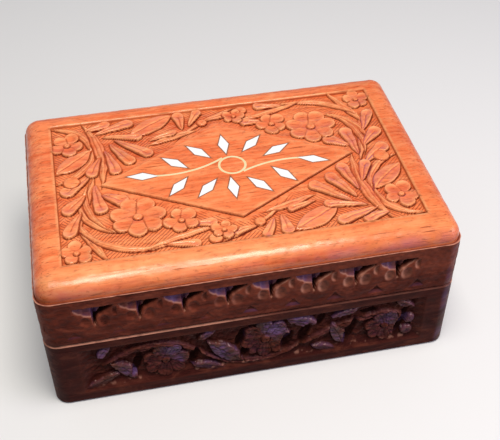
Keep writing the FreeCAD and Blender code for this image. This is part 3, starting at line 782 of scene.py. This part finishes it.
def lid_board(name, side):
    """One half of the lid board, left (-1) or right (1), as a closed skin. The carved field is a grid, worked
    out a little past the joint in the board's middle so that both halves agree there. A chain of rings
    carries its three outer edges over the plain, slightly uneven rim, the round edge, a quarter of an
    ellipse, and the side. Flat faces close the joint and the underside. The rim has a painted highlight
    along the front that fades to the right, and a stain at its front left corner. Low on the round edge
    it is darker and has a painted violet sheen. Towards the right end the board is darker and its
    painted sheen stronger."""
    cells = round(FIELD[0] / BOARD_STEP)
    step = FIELD[0] / cells
    xs = side * step * np.arange(-OVERLAP_CELLS, cells + 1)[::side]
    ys = np.linspace(-FIELD[1], FIELD[1], round(2 * FIELD[1] / step) + 1)
    carving = lid_carving(xs, ys)
    marks = carving_marks(carving, step, BOARD_LEVEL, face_light=BOARD_FACE_LIGHT)
    marks["relief"] = carving["relief"]
    marks = {label: values[::side, ::side][OVERLAP_CELLS:] for label, values in marks.items()}
    x, y = np.meshgrid(xs[::side][OVERLAP_CELLS:], ys[::side], indexing="ij")
    index = np.arange(x.size).reshape(x.shape)
    chain = np.concatenate([index[:, 0], index[-1, 1:], index[-2::-1, -1]])
    top = np.stack([x, y, BOARD_HIGH[2] + marks.pop("relief")], -1).reshape(-1, 3)
    bends = np.linspace(0, math.pi / 2, ROUND_STEPS)
    insets = [RIM_START * FIELD_MARGIN, *(ROUNDOVER_RUN * (1 - np.sin(bends))), 0]
    heights = [BOARD_HIGH[2], *(BOARD_HIGH[2] - ROUNDOVER * (1 - np.cos(bends))), BOARD_LOW[2]]
    rings = []
    for inset, height in zip(insets, heights):
        outline = board_outline(top[chain, :2], inset)
        wave = hand_marks(*(RIM_WAVE_RATE * outline.T)) - LONG_MARK - SHORT_MARK
        rings.append(np.column_stack([outline, height + RIM_WAVE * wave * (0 < inset < FIELD_MARGIN)]))
    points = np.concatenate([top] + rings)
    ring_index = len(top) + np.arange(len(rings) * len(chain)).reshape(len(rings), -1)
    ring_index = np.concatenate([chain[None], ring_index])
    smooth = np.concatenate([cell_corners(index), cell_corners(ring_index[:-1])])
    joint = np.concatenate([index[0], ring_index[1:, -1], ring_index[:0:-1, 0]])
    rim_x, rim_y, rim_z = points[len(top):].T
    past_field = -rim_y - FIELD[1]
    painted_light = ramp(past_field, *RIM_LIGHT) * (1 - RIM_FADE_SHARE * ramp(rim_x, *RIM_FADE))
    low = ramp(BOARD_HIGH[2] - rim_z, *RIM_DROP)
    corner = ramp(-rim_x, *CORNER_REACH) * ramp(past_field, *CORNER_FRONT)
    marks = {label: np.append(values, np.zeros(len(rim_x))) for label, values in marks.items()}
    # Painted highlight along the front rim, fading right; low on the round edge darker, with painted sheen
    marks["rub_and_highlight"][len(top):] = RIM_HIGHLIGHT * painted_light * (1 - low)
    marks["cut"][len(top):] = RIM_LOW_DARKENING * low + CORNER_STAIN * corner
    marks["sheen"][len(top):] = RIM_SHEEN * low
    marks["sheen"][ring_index[-1]] = 0
    # Darker towards the right end, with stronger painted sheen.
    right = ramp(points[:, 0], *END_REACH)
    marks["cut"] = np.maximum(marks["cut"], END_DARKENING * right)
    marks["sheen"] *= 1 + END_SHEEN * right
    flat = cell_corners(ring_index[-2:])
    return new_piece(name, points, smooth, flat, [joint, ring_index[-1, ::-1]], marks)


def seam_lines(side):
    """Edge of a wall at the seam, from its outer to its inner face, as depth into the wall and way from the
    seam: on a plain stretch, and on a stretch with a hinge, where a round groove meets the leaf's mortise."""
    if side != "back":
        arris = np.array([(0, SEAM_ARRIS), (SEAM_ARRIS, 0), (WALL, 0)])
        return arris, arris
    pin = BOX_WIDTH / 2 - PIN_MIDDLE[1], BASE_TOP - PIN_MIDDLE[2]
    mortise = BOX_WIDTH / 2 - LEAF_LOW[1] + LEAF_CLEARANCE
    first = math.pi - math.acos(pin[0] / KNUCKLE_GROOVE)
    last = math.asin((LEAF_THICKNESS - pin[1]) / KNUCKLE_GROOVE)
    angles = np.linspace(first, last, ROUND_STEPS)
    groove = pin + KNUCKLE_GROOVE * np.stack([np.cos(angles), np.sin(angles)], -1)
    hinge = np.concatenate([groove, [(mortise, LEAF_THICKNESS), (mortise, 0), (WALL, 0)]])
    depths = np.linspace(BEVEL_INSET, WALL, len(hinge) - 1)
    bevel = np.concatenate([[(0, BEVEL_DROP)], np.stack([depths, 0 * depths], -1)])
    return bevel, hinge


def wall_columns(side, end, step):
    """Places along a wall, with close pairs at the ends of the hinge mortises, and which are in one."""
    us = np.linspace(-end, end, int(2 * end / step) + 1)
    if side != "back":
        return us, np.zeros(len(us), bool)
    half = LEAF_LENGTH / 2 + LEAF_CLEARANCE
    ends = np.array([LEAF_MIDDLE - half, LEAF_MIDDLE + half])
    steps = np.concatenate([ends - CLOSE_PAIR, ends + CLOSE_PAIR])
    us = np.sort(np.concatenate([us, steps, -steps]))
    return us, np.abs(np.abs(us) - LEAF_MIDDLE) < half


def wall_section(body, side, hinged, step):
    """Section of a wall at each place along it, as depth into the wall and height, and the heights of its
    outer face's rows. From the outer face it goes on over the seam, the inner face and the rabbet of the
    base, or over the ledge, the inner face and the seam of the lid."""
    plain_line, hinge_line = seam_lines(side)
    seam = np.where(hinged[:, None, None], hinge_line, plain_line)
    even = np.ones(len(hinged))
    if body == "lid":
        seam[:, :, 1] = LID_FOOT + seam[:, :, 1]
        start, stop = seam[:, 0, 1], BOARD_LOW[2] * even
        rest = [(depth, BOARD_LOW[2]) for depth in (LEDGE_LINE, 2 * LEDGE_LINE, WALL)]
    else:
        seam[:, :, 1] = BASE_TOP - seam[:, :, 1]
        start, stop = FOOT_CHAMFER * even, seam[:, 0, 1]
        inner = WALL - RABBET
        rest = [(WALL, PANEL_TOP), (inner, PANEL_TOP), (inner, 0), (FOOT_CHAMFER, 0)]
    heights = np.linspace(start.mean(), stop.mean(), int((stop[0] - start[0]) / step))
    face_z = start[:, None] + (stop - start)[:, None] * np.linspace(0, 1, len(heights))
    face = np.stack([0 * face_z, face_z], -1)
    rest = np.broadcast_to(rest, (len(hinged), len(rest), 2))
    parts = [face, rest, seam[:, :0:-1]] if body == "lid" else [face, seam[:, 1:], rest]
    return np.concatenate(parts, 1), heights


def carved_wall(body, side, carve):
    """Mitred wall as one closed skin: its section is carried along the outer face, half round each corner.
    Depth runs from the outer to the inner face, and the carving pushes the outer face in along its own
    normal. Flat faces close both mitres."""
    half_length, half_width = BOX_LENGTH / 2, BOX_WIDTH / 2
    if SIDES[side] % 2:
        half_length, half_width = half_width, half_length
    straight = half_length - CORNER_RADIUS
    end = straight + CORNER_RADIUS * math.pi / 4
    step = FRONT_STEP if side == "front" else WALL_STEP
    us, hinged = wall_columns(side, end, step)
    section, heights = wall_section(body, side, hinged, step)
    rows = len(heights)
    carving = carve(us, heights, half_length)
    angle = np.clip(np.abs(us) - straight, 0, None) / CORNER_RADIUS
    normal = np.stack([np.sign(us) * np.sin(angle), -np.cos(angle)])
    outer = np.stack([np.clip(us, -straight, straight), 0 * us + CORNER_RADIUS - half_width])
    outer = outer + CORNER_RADIUS * normal
    inner = np.stack([us / end * (half_length - WALL), 0 * us + WALL - half_width])
    x, y = outer[:, :, None] + (inner - outer)[:, :, None] * (section[:, :, 0] / WALL)
    x[:, :rows] += normal[0][:, None] * carving["relief"]
    y[:, :rows] += normal[1][:, None] * carving["relief"]
    for _ in range(SIDES[side]):
        x, y = -y, x
    points = np.stack([x, y, section[:, :, 1]], -1).reshape(-1, 3)
    index, closed = round_table(x.shape)
    marks = carving_marks(carving, step, WALL_LEVEL, WALL_GLINTS[body])
    spare = (0, 0), (0, section.shape[1] - rows)
    marks = {label: np.pad(values, spare) for label, values in marks.items()}
    # Painted violet sheen on each wall's right-hand corner as seen from outside, but not on the left wall.
    if side != "left":
        corner = CORNER_SHEEN * ramp(us[:, None], straight, straight + CORNER_FADE)
        marks["sheen"][:, :rows] = np.maximum(marks["sheen"][:, :rows], corner)
    # Painted highlight along the face's top edge: the seam on the base, under the board on the lid.
    painted_light = np.ones(len(us))
    # On the base's front the painted highlight fades towards the right.
    if (body, side) == ("base", "front"):
        painted_light = 1 - SEAM_LIGHT_SHARE * ramp(us, *SEAM_LIGHT)
    marks["arris"][:, [rows - 1, rows]] = painted_light[:, None] * SEAM_PALENESS[body]
    smooth, flat = cell_corners(closed[:, :rows]), cell_corners(closed[:, rows - 1:])
    return new_piece("%s_%s_carved" % (body, side), points, smooth, flat, [index[0], index[-1, ::-1]], marks)


def screw_heads(body):
    """Slotted screw heads on the hinge leaves. A head is a round grid: its height falls with the square of
    the way out from a low crown, a straight slot is sunk across it and its rim turns down into the leaf."""
    face, up = (BASE_TOP, 1) if body == "base" else (LID_FOOT, -1)
    heart, radius, lip, inset, apart = 0.1, 1.5, 0.02, 2.3, 0.32 * LEAF_LENGTH
    crown, fall, slot_depth, slot_edge, slot_turn, sink = 0.09, 0.03, 0.055, (0.28, 0.18), 0.6, 0.2
    rings, spokes = 15, 48
    ways = np.append(np.linspace(heart, radius, rings), radius + lip)
    way, angle = np.meshgrid(ways, np.linspace(0, 2 * math.pi, spokes, endpoint=False), indexing="ij")
    slot = ramp(np.abs(way * np.sin(angle - slot_turn)), *slot_edge)
    height = crown - fall * (way / radius) ** 2 - slot_depth * slot
    height[-1] = -sink
    x, y, z = way * np.cos(angle), LEAF_LOW[1] + inset + way * np.sin(angle), face + up * height
    middles = [middle + shift for middle in (-LEAF_MIDDLE, LEAF_MIDDLE) for shift in (-apart, apart)]
    points = np.reshape([np.stack([middle + x, y, z], -1) for middle in middles], (-1, 3))
    index, closed = round_table(way.shape)
    starts = way.size * np.arange(len(middles))
    smooth = (starts[:, None, None] + cell_corners(closed)[:, ::up]).reshape(-1, 4)
    caps = [start + index[0, ::up] for start in starts]
    # The slot share marks where the brass is painted dark as shade.
    marks = {"cut": np.tile(slot.ravel(), len(middles))}
    return new_piece("%s_hinge_screws" % body, points, smooth, np.zeros((0, 4), int), caps, marks)


def set_inputs(made, entries):
    """Inputs of a node by name or number: another node's output becomes a link, the rest values."""
    for name, entry in entries.items():
        if isinstance(entry, bpy.types.NodeSocket):
            made.id_data.links.new(entry, made.inputs[name])
        else:
            made.inputs[name].default_value = entry


def add_node(tree, kind, **settings):
    """One shader node with its settings."""
    made = tree.nodes.new("ShaderNode" + kind)
    for name, value in settings.items():
        setattr(made, name, value)
    return made


def next_node(kind, entries, **settings):
    """Outputs of a node with its settings and inputs, in the tree that its links come from."""
    tree = next(entry.id_data for entry in entries.values() if isinstance(entry, bpy.types.NodeSocket))
    made = add_node(tree, kind, **settings)
    set_inputs(made, entries)
    return made.outputs


def mixed(share, first, second, blend="MIX"):
    """Colour between two others."""
    return next_node("Mix", {0: share, 6: first, 7: second}, data_type="RGBA", blend_type=blend)[2]


def sums(operation, *entries):
    """Result of one sum on numbers."""
    return next_node("Math", dict(enumerate(entries)), operation=operation)[0]


def times(first, second):
    """Product of two numbers."""
    return sums("MULTIPLY", first, second)


def plus(first, second):
    """Sum of two numbers."""
    return sums("ADD", first, second)


def spread(value, low, high):
    """Value spread so that low becomes 0 and high becomes 1, kept between the two."""
    return next_node("MapRange", {"Value": value, "From Min": low, "From Max": high})["Result"]


def mark(tree, label):
    """Value a piece carries at its points."""
    return add_node(tree, "Attribute", attribute_name=label).outputs["Fac"]


def cloud(place, rate, detail, roughness=0.5, distortion=0.0):
    """Noise over a place in millimetres, its rate in cycles per millimetre for all axes or for each."""
    scaled = next_node("VectorMath", {0: place, 1: np.full(3, rate)}, operation="MULTIPLY")[0]
    values = {"Scale": 1.0, "Detail": detail, "Roughness": roughness, "Distortion": distortion}
    return next_node("TexNoise", {"Vector": scaled} | values)["Fac"]


def new_group(name, inputs, outputs):
    """Empty node group with its sockets: the tree, its inputs and its output node."""
    tree = bpy.data.node_groups.new(name, "ShaderNodeTree")
    for way, sockets in (("INPUT", inputs), ("OUTPUT", outputs)):
        for label, kind in sockets.items():
            tree.interface.new_socket(label, in_out=way, socket_type="NodeSocket" + kind)
    return tree, tree.nodes.new("NodeGroupInput").outputs, tree.nodes.new("NodeGroupOutput")


def grain_group():
    """Wood grain along X: long streaks, broad figure and short dark pores in two colours."""
    tree, given, out = new_group("wood_grain", {"Place": "Vector", "Pale": "Color", "Deep": "Color"},
                                 {"Colour": "Color", "Height": "Float", "Streak": "Float"})
    place, pale, deep = given["Place"], given["Pale"], given["Deep"]
    streak = cloud(place, (0.02, 0.55, 0.55), detail=5, roughness=0.6, distortion=0.6)
    figure = cloud(place, (0.012, 0.05, 0.05), detail=2, distortion=0.8)
    pore = spread(cloud(place, (0.12, 2.4, 2.4), detail=1), 0.62, 0.74)
    share = plus(times(streak, 0.6), times(figure, 0.5))
    colour = mixed(spread(share, 0.42, 0.70), pale, deep)
    dark = mixed(1.0, deep, PORE_SHADE, "MULTIPLY")
    colour = mixed(times(pore, 0.9), colour, dark)
    height = sums("SUBTRACT", times(streak, 0.5), pore)
    set_inputs(out, {"Colour": colour, "Height": height, "Streak": streak})
    return tree


def carving_group():
    """Colour of carved wood, layer over layer: mottling, darkening on the cut mark (painted shade in the
    cuts, stain and darker stretches on the board), a painted violet sheen, paler raised and facing parts that
    are partly rubbed wear and partly painted highlight, flecks, painted highlights on edges, painted
    glints and glue. It also gives how open the surface is to wax."""
    colours = dict.fromkeys(("Colour", "StainAndShade", "PaintedSheen", "RubbedAndLit", "EdgeHighlight"), "Color")
    shares = dict.fromkeys(("Least", "Mottle", "Bare"), "Float")
    tree, given, out = new_group("carved_finish_and_painted_light", colours | shares | {"Place": "Vector"},
                                 {"Colour": "Color", "Rough": "Float", "Open": "Float"})
    place, stain_and_shade = given["Place"], given["StainAndShade"]
    cut, sheen = mark(tree, "cut"), mark(tree, "sheen")
    uneven = spread(cloud(place, 0.3, detail=3), 0.3, 0.7)
    patch = spread(cloud(place, 0.13, detail=2), given["Least"], 0.7)
    mottle = cloud(place, (0.11, 0.24, 0.24), detail=4, roughness=0.65, distortion=0.5)
    light = times(spread(mottle, 0.52, 0.66), given["Mottle"])
    dark = times(spread(mottle, 0.48, 0.34), given["Mottle"])
    rub_and_highlight = times(mark(tree, "rub_and_highlight"), plus(times(uneven, 0.6), 0.3))
    fleck = spread(cloud(place, (0.35, 0.9, 0.9), detail=4, roughness=0.7), 0.54, 0.72)
    arris = times(mark(tree, "arris"), spread(uneven, -0.6, 0.6))
    dash = spread(cloud(place, 0.6, detail=2), 0.58, 0.68)
    colour = given["Colour"]
    for share, over in (
        (light, given["RubbedAndLit"]),
        (times(dark, 0.6), stain_and_shade),
        (cut, stain_and_shade),
        (times(sheen, patch), given["PaintedSheen"]),
        (rub_and_highlight, given["RubbedAndLit"]),
        (times(fleck, 0.45), stain_and_shade),
        (arris, given["EdgeHighlight"]),
        (times(mark(tree, "glint"), dash), GLINT),
        (times(mark(tree, "glue"), 0.95), GLUE),
    ):
        colour = mixed(share, colour, over)
    rough = plus(times(uneven, 0.12), times(cut, 0.4))
    shine = times(sums("MAXIMUM", sheen, given["Bare"]), spread(cut, 0.5, 0.0))
    set_inputs(out, {"Colour": colour, "Rough": rough, "Open": shine})
    return tree


PORE_SHADE = 0.4, 0.35, 0.35, 1
GLUE = 0.13, 0.07, 0.035, 1
# Colour of painted glints
GLINT = 0.72, 0.46, 0.44, 1
GRAIN = grain_group()
CARVING = carving_group()
HATCH_RATE = 4.0
HATCHED_FRONT = -8.0, -26.0
HATCH_SHADE = 0.6
HATCH_DEPTH = 2.0
SLOT_SHADE = 0.05, 0.035, 0.02, 1
BONE_COLOURS = (0.88, 0.90, 0.98, 1), (0.86, 0.86, 0.86, 1)
BONE_FLECK = 0.45, 0.36, 0.26, 1


def new_material(name):
    """Empty material, its shader and the place in millimetres."""
    material = bpy.data.materials.new(name)
    material.use_nodes = True
    tree = material.node_tree
    place = add_node(tree, "TexCoord").outputs["Object"]
    place = next_node("VectorMath", {0: place, "Scale": 1 / MM}, operation="SCALE")[0]
    return material, tree.nodes["Principled BSDF"], place


def bumped(height, strength, distance):
    """Normal of a surface that a height roughens; the distance is in millimetres."""
    return next_node("Bump", {"Height": height, "Strength": strength, "Distance": distance * MM})["Normal"]


def hatching(place):
    """Fine slanted cuts on the carving's ground, sines of x + y or x - y from patch to patch, in the bump and
    as painted shade in the colour. They are clear at the front and clear or faint in patches behind."""
    x, y, _ = next_node("SeparateXYZ", {0: place})
    lean = sums("GREATER_THAN", cloud(place, 0.06, detail=0), 0.5)
    slant = plus(times(lean, -2 * HATCH_RATE), HATCH_RATE)
    lines = spread(sums("SINE", plus(times(x, HATCH_RATE), times(y, slant))), 0.2, 0.8)
    patch = spread(cloud(place, 0.05, detail=1), 0.36, 0.6)
    shown = sums("MAXIMUM", patch, spread(y, *HATCHED_FRONT))
    return times(lines, times(shown, mark(place.id_data, "ground")))


def wood(name, pale, deep, roughness, along_y=False, finish_and_light=None, coat=0.0, gloss=0.5, haze=0.42,
         hatched=False):
    """Oiled wood, its grain along X or Y. Finish gives the colours and shares of the carving's finish and of
    its painted shade, sheen and highlights; the hatching is painted dark as shade. The coat is a wax that
    follows the grain's streaks and leaves the pores open."""
    material, shader, place = new_material(name)
    run = place
    if along_y:
        run = next_node("VectorRotate", {"Vector": place, "Angle": math.pi / 2})[0]
    grain = next_node("Group", {"Place": run, "Pale": pale, "Deep": deep}, node_tree=GRAIN)
    colour, height, streak = grain["Colour"], grain["Height"], grain["Streak"]
    rough = plus(times(streak, 0.12), roughness - 0.06)
    if finish_and_light:
        carved = next_node("Group", {"Colour": colour, "Place": place} | finish_and_light, node_tree=CARVING)
        colour = carved["Colour"]
        rough = plus(rough, carved["Rough"])
        waxed = plus(times(spread(streak, 0.62, 0.38), 0.8), 0.35)
        waxed = times(waxed, spread(height, -0.4, 0.15))
        coat = times(times(waxed, carved["Open"]), coat)
    if hatched:
        lines = hatching(place)
        colour = mixed(times(lines, HATCH_SHADE), colour, finish_and_light["StainAndShade"])
        height = sums("SUBTRACT", height, times(lines, HATCH_DEPTH))
    set_inputs(shader, {
        "Base Color": colour, "Roughness": rough, "Normal": bumped(height, strength=0.25, distance=0.08),
        "Specular IOR Level": gloss, "Coat Weight": coat, "Coat Roughness": haze,
    })
    return material


def metal(name, bright, dull, roughness, brushed, metallic=1.0):
    """Brass with tarnish in patches, fine brush lines at a rate along each axis, and painted shade in the
    slots.
    """
    material, shader, place = new_material(name)
    patch = spread(cloud(place, 0.18, detail=4, roughness=0.6), 0.35, 0.7)
    lines = cloud(place, brushed, detail=2)
    colour = mixed(patch, bright, dull)
    colour = mixed(times(mark(place.id_data, "cut"), 0.8), colour, SLOT_SHADE)
    rough = plus(plus(times(lines, 0.2), roughness), times(patch, 0.12))
    set_inputs(shader, {
        "Base Color": colour, "Roughness": rough, "Metallic": metallic,
        "Normal": bumped(lines, strength=0.15, distance=0.04),
    })
    return material


def bone(name):
    """White bone: pale clouds between two whites, fine brown flecks and a low gloss."""
    material, shader, place = new_material(name)
    clouds = spread(cloud(place, 0.25, detail=3), 0.35, 0.7)
    fleck = spread(cloud(place, (1.5, 4.0, 4.0), detail=1), 0.66, 0.76)
    colour = mixed(times(fleck, 0.3), mixed(clouds, *BONE_COLOURS), BONE_FLECK)
    set_inputs(shader, {"Base Color": colour, "Roughness": plus(times(clouds, 0.1), 0.4)})
    return material


# Wall finish: stain with painted shade, a painted violet sheen, and an edge colour for painted highlights.
WALL_FINISH_AND_LIGHT = {
    "StainAndShade": (0.018, 0.004, 0.003, 1), "PaintedSheen": (0.17, 0.086, 0.225, 1), "EdgeHighlight": (0.66, 0.30, 0.21, 1),
    "Least": 0.36, "Mottle": 0.85, "Bare": 0.1,
}
# Walls: pale, deep and rubbed colour and gloss, painted darker than the board as shade
# The walls are the board's own wood; the base's colours are painted darker than the lid's as shade.
WALL_LOOKS = {
    "base": ((0.088, 0.017, 0.012, 1), (0.042, 0.007, 0.006, 1), (0.14, 0.036, 0.022, 1), 0.05),
    "lid": ((0.185, 0.036, 0.020, 1), (0.080, 0.015, 0.010, 1), (0.27, 0.064, 0.036, 1), 0.06),
}
WALL_WOODS = {}
for body, (pale, deep, rubbed_and_lit, gloss) in WALL_LOOKS.items():
    for run in ("long", "short"):
        finish_and_light = WALL_FINISH_AND_LIGHT | {"RubbedAndLit": rubbed_and_lit}
        WALL_WOODS[body, run] = wood("%s_wall_%s" % (body, run), pale, deep, roughness=0.45, finish_and_light=finish_and_light,
                                     along_y=run == "short", coat=0.5, gloss=gloss, haze=0.24)
# Board finish: stain with painted shade, painted violet sheen, edge colour for painted highlights.
BOARD_FINISH_AND_LIGHT = {
    "StainAndShade": (0.115, 0.005, 0.0, 1), "PaintedSheen": (0.44, 0.13, 0.25, 1), "RubbedAndLit": (1.0, 0.46, 0.20, 1),
    "EdgeHighlight": (1.0, 0.46, 0.20, 1), "Least": 0.32, "Mottle": 0.3, "Bare": 1.0,
}
BOARD_WOOD = wood("board_wood", (1.0, 0.276, 0.088, 1), (0.76, 0.132, 0.038, 1), roughness=0.44,
                  finish_and_light=BOARD_FINISH_AND_LIGHT, coat=1.0, gloss=0.08, haze=0.22, hatched=True)
PANEL_WOOD = wood("panel_wood", (0.34, 0.15, 0.075, 1), (0.22, 0.085, 0.045, 1), roughness=0.5)
HINGE_BRASS = metal("hinge_brass", (0.75, 0.55, 0.26, 1), (0.42, 0.28, 0.12, 1), roughness=0.26,
                    brushed=(0.15, 6.0, 6.0))
INLAY_BRASS = metal("inlay_brass", (1.0, 0.88, 0.54, 1), (0.92, 0.75, 0.40, 1), roughness=0.3,
                    brushed=(1.5, 1.5, 6.0), metallic=0.4)
BONE = bone("white_bone")


def dress(piece, material):
    """A piece's or node's only material."""
    piece.data.materials.clear()
    piece.data.materials.append(material)


def hand_over(piece, body, slot, material, *nodes):
    """A new piece rides its body and takes the place of CAD nodes, which are hidden; its slot is not used."""
    dress(piece, material)
    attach(piece, body)
    if nodes:
        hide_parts(*nodes)


for side, quarter in SIDES.items():
    run = "long" if quarter % 2 == 0 else "short"
    for body, carve in (("base", vine_carving), ("lid", notch_carving)):
        wall = carved_wall(body, side, carve)
        hand_over(wall, body, "wall_wood", WALL_WOODS[body, run], "%s_%s_wall" % (body, side))
for name, side in (("lid_board_left", -1), ("lid_board_right", 1)):
    hand_over(lid_board(name, side), "lid", "board_wood", BOARD_WOOD, "lid_top_board")
for body in ("base", "lid"):
    hand_over(screw_heads(body), body, "hinge_brass", HINGE_BRASS)

for name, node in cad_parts.items():
    if name.startswith("inlay_leaf"):
        dress(node, BONE)
    elif name.startswith("inlay"):
        dress(node, INLAY_BRASS)
    elif name.startswith("hinge"):
        dress(node, HINGE_BRASS)
    elif name == "base_bottom_panel":
        dress(node, PANEL_WOOD)


FLOOR_RADIUS = 1.1
FLOOR_TURNS = 128
FLOOR_COLOURS = (0.80, 0.805, 0.83, 1), (0.07, 0.07, 0.08, 1)
WORLD_COLOURS = (0.42, 0.43, 0.49, 1), (0.19, 0.20, 0.23, 1)
CAMERA_PLACE = -0.04657, -0.26198, 0.27778
CAMERA_TURN = 0.8067357, 0.0014883, -0.2069457


def stage_colour(tree, seen, cast):
    """Colour that is one thing to the eye, mirrors and glass, and another to the light it throws back."""
    path = add_node(tree, "LightPath").outputs
    clear = sums("MAXIMUM", path["Is Camera Ray"], path["Is Glossy Ray"])
    clear = sums("MAXIMUM", clear, path["Is Transmission Ray"])
    return mixed(clear, cast, seen)


def studio_floor():
    """Wide round pale floor under the box."""
    mesh = bpy.data.meshes.new("studio_floor")
    turns = np.linspace(0, 2 * math.pi, FLOOR_TURNS, endpoint=False)
    edge = np.stack([np.cos(turns), np.sin(turns), 0 * turns], -1)
    mesh.from_pydata((FLOOR_RADIUS * edge).tolist(), [], [range(len(turns))])
    floor = bpy.data.objects.new("studio_floor", mesh)
    bpy.context.scene.collection.objects.link(floor)
    material, shader, _ = new_material("studio_floor")
    colour = stage_colour(material.node_tree, *FLOOR_COLOURS)
    set_inputs(shader, {"Base Color": colour, "Roughness": 0.9, "Specular IOR Level": 0.0})
    dress(floor, material)


def studio_world():
    """Even surroundings: a pale cool grey to the eye, and a weaker fill as light."""
    world = bpy.data.worlds.new("studio")
    bpy.context.scene.world = world
    world.use_nodes = True
    tree = world.node_tree
    set_inputs(tree.nodes["Background"], {"Color": stage_colour(tree, *WORLD_COLOURS), "Strength": 1.0})


def soft_lamp(name, place, aim, size, power, colour):
    """Square soft lamp turned towards a point; places and size in metres, power in watts."""
    data = bpy.data.lights.new(name, "AREA")
    data.shape, data.size, data.energy, data.color = "SQUARE", size, power, colour
    lamp = bpy.data.objects.new(name, data)
    lamp.location = place
    lamp.rotation_euler = (Vector(aim) - Vector(place)).to_track_quat("-Z", "Y").to_euler()
    bpy.context.scene.collection.objects.link(lamp)


def photo_camera():
    """Camera at the photo's place: above the front, a little left, looking down at the box."""
    data = bpy.data.cameras.new("photo_camera")
    data.sensor_width, data.lens = 36.0, 65.06
    data.shift_x, data.shift_y = 0.0, 0.04
    data.clip_start = 0.01
    camera = bpy.data.objects.new("photo_camera", data)
    camera.location, camera.rotation_euler = CAMERA_PLACE, CAMERA_TURN
    bpy.context.scene.collection.objects.link(camera)
    bpy.context.scene.camera = camera


studio_floor()
studio_world()
soft_lamp("overhead_lamp", (0.02, -0.17, 0.74), aim=(0.0, 0.0, 0.05), size=0.36, power=5.25,
          colour=(1.0, 0.95, 0.84))
soft_lamp("side_lamp", (0.50, -0.24, 0.24), aim=(0.0, 0.0, 0.03), size=0.3, power=1.1,
          colour=(0.92, 0.84, 1.0))
photo_camera()
bpy.context.scene.view_settings.view_transform = "Standard"
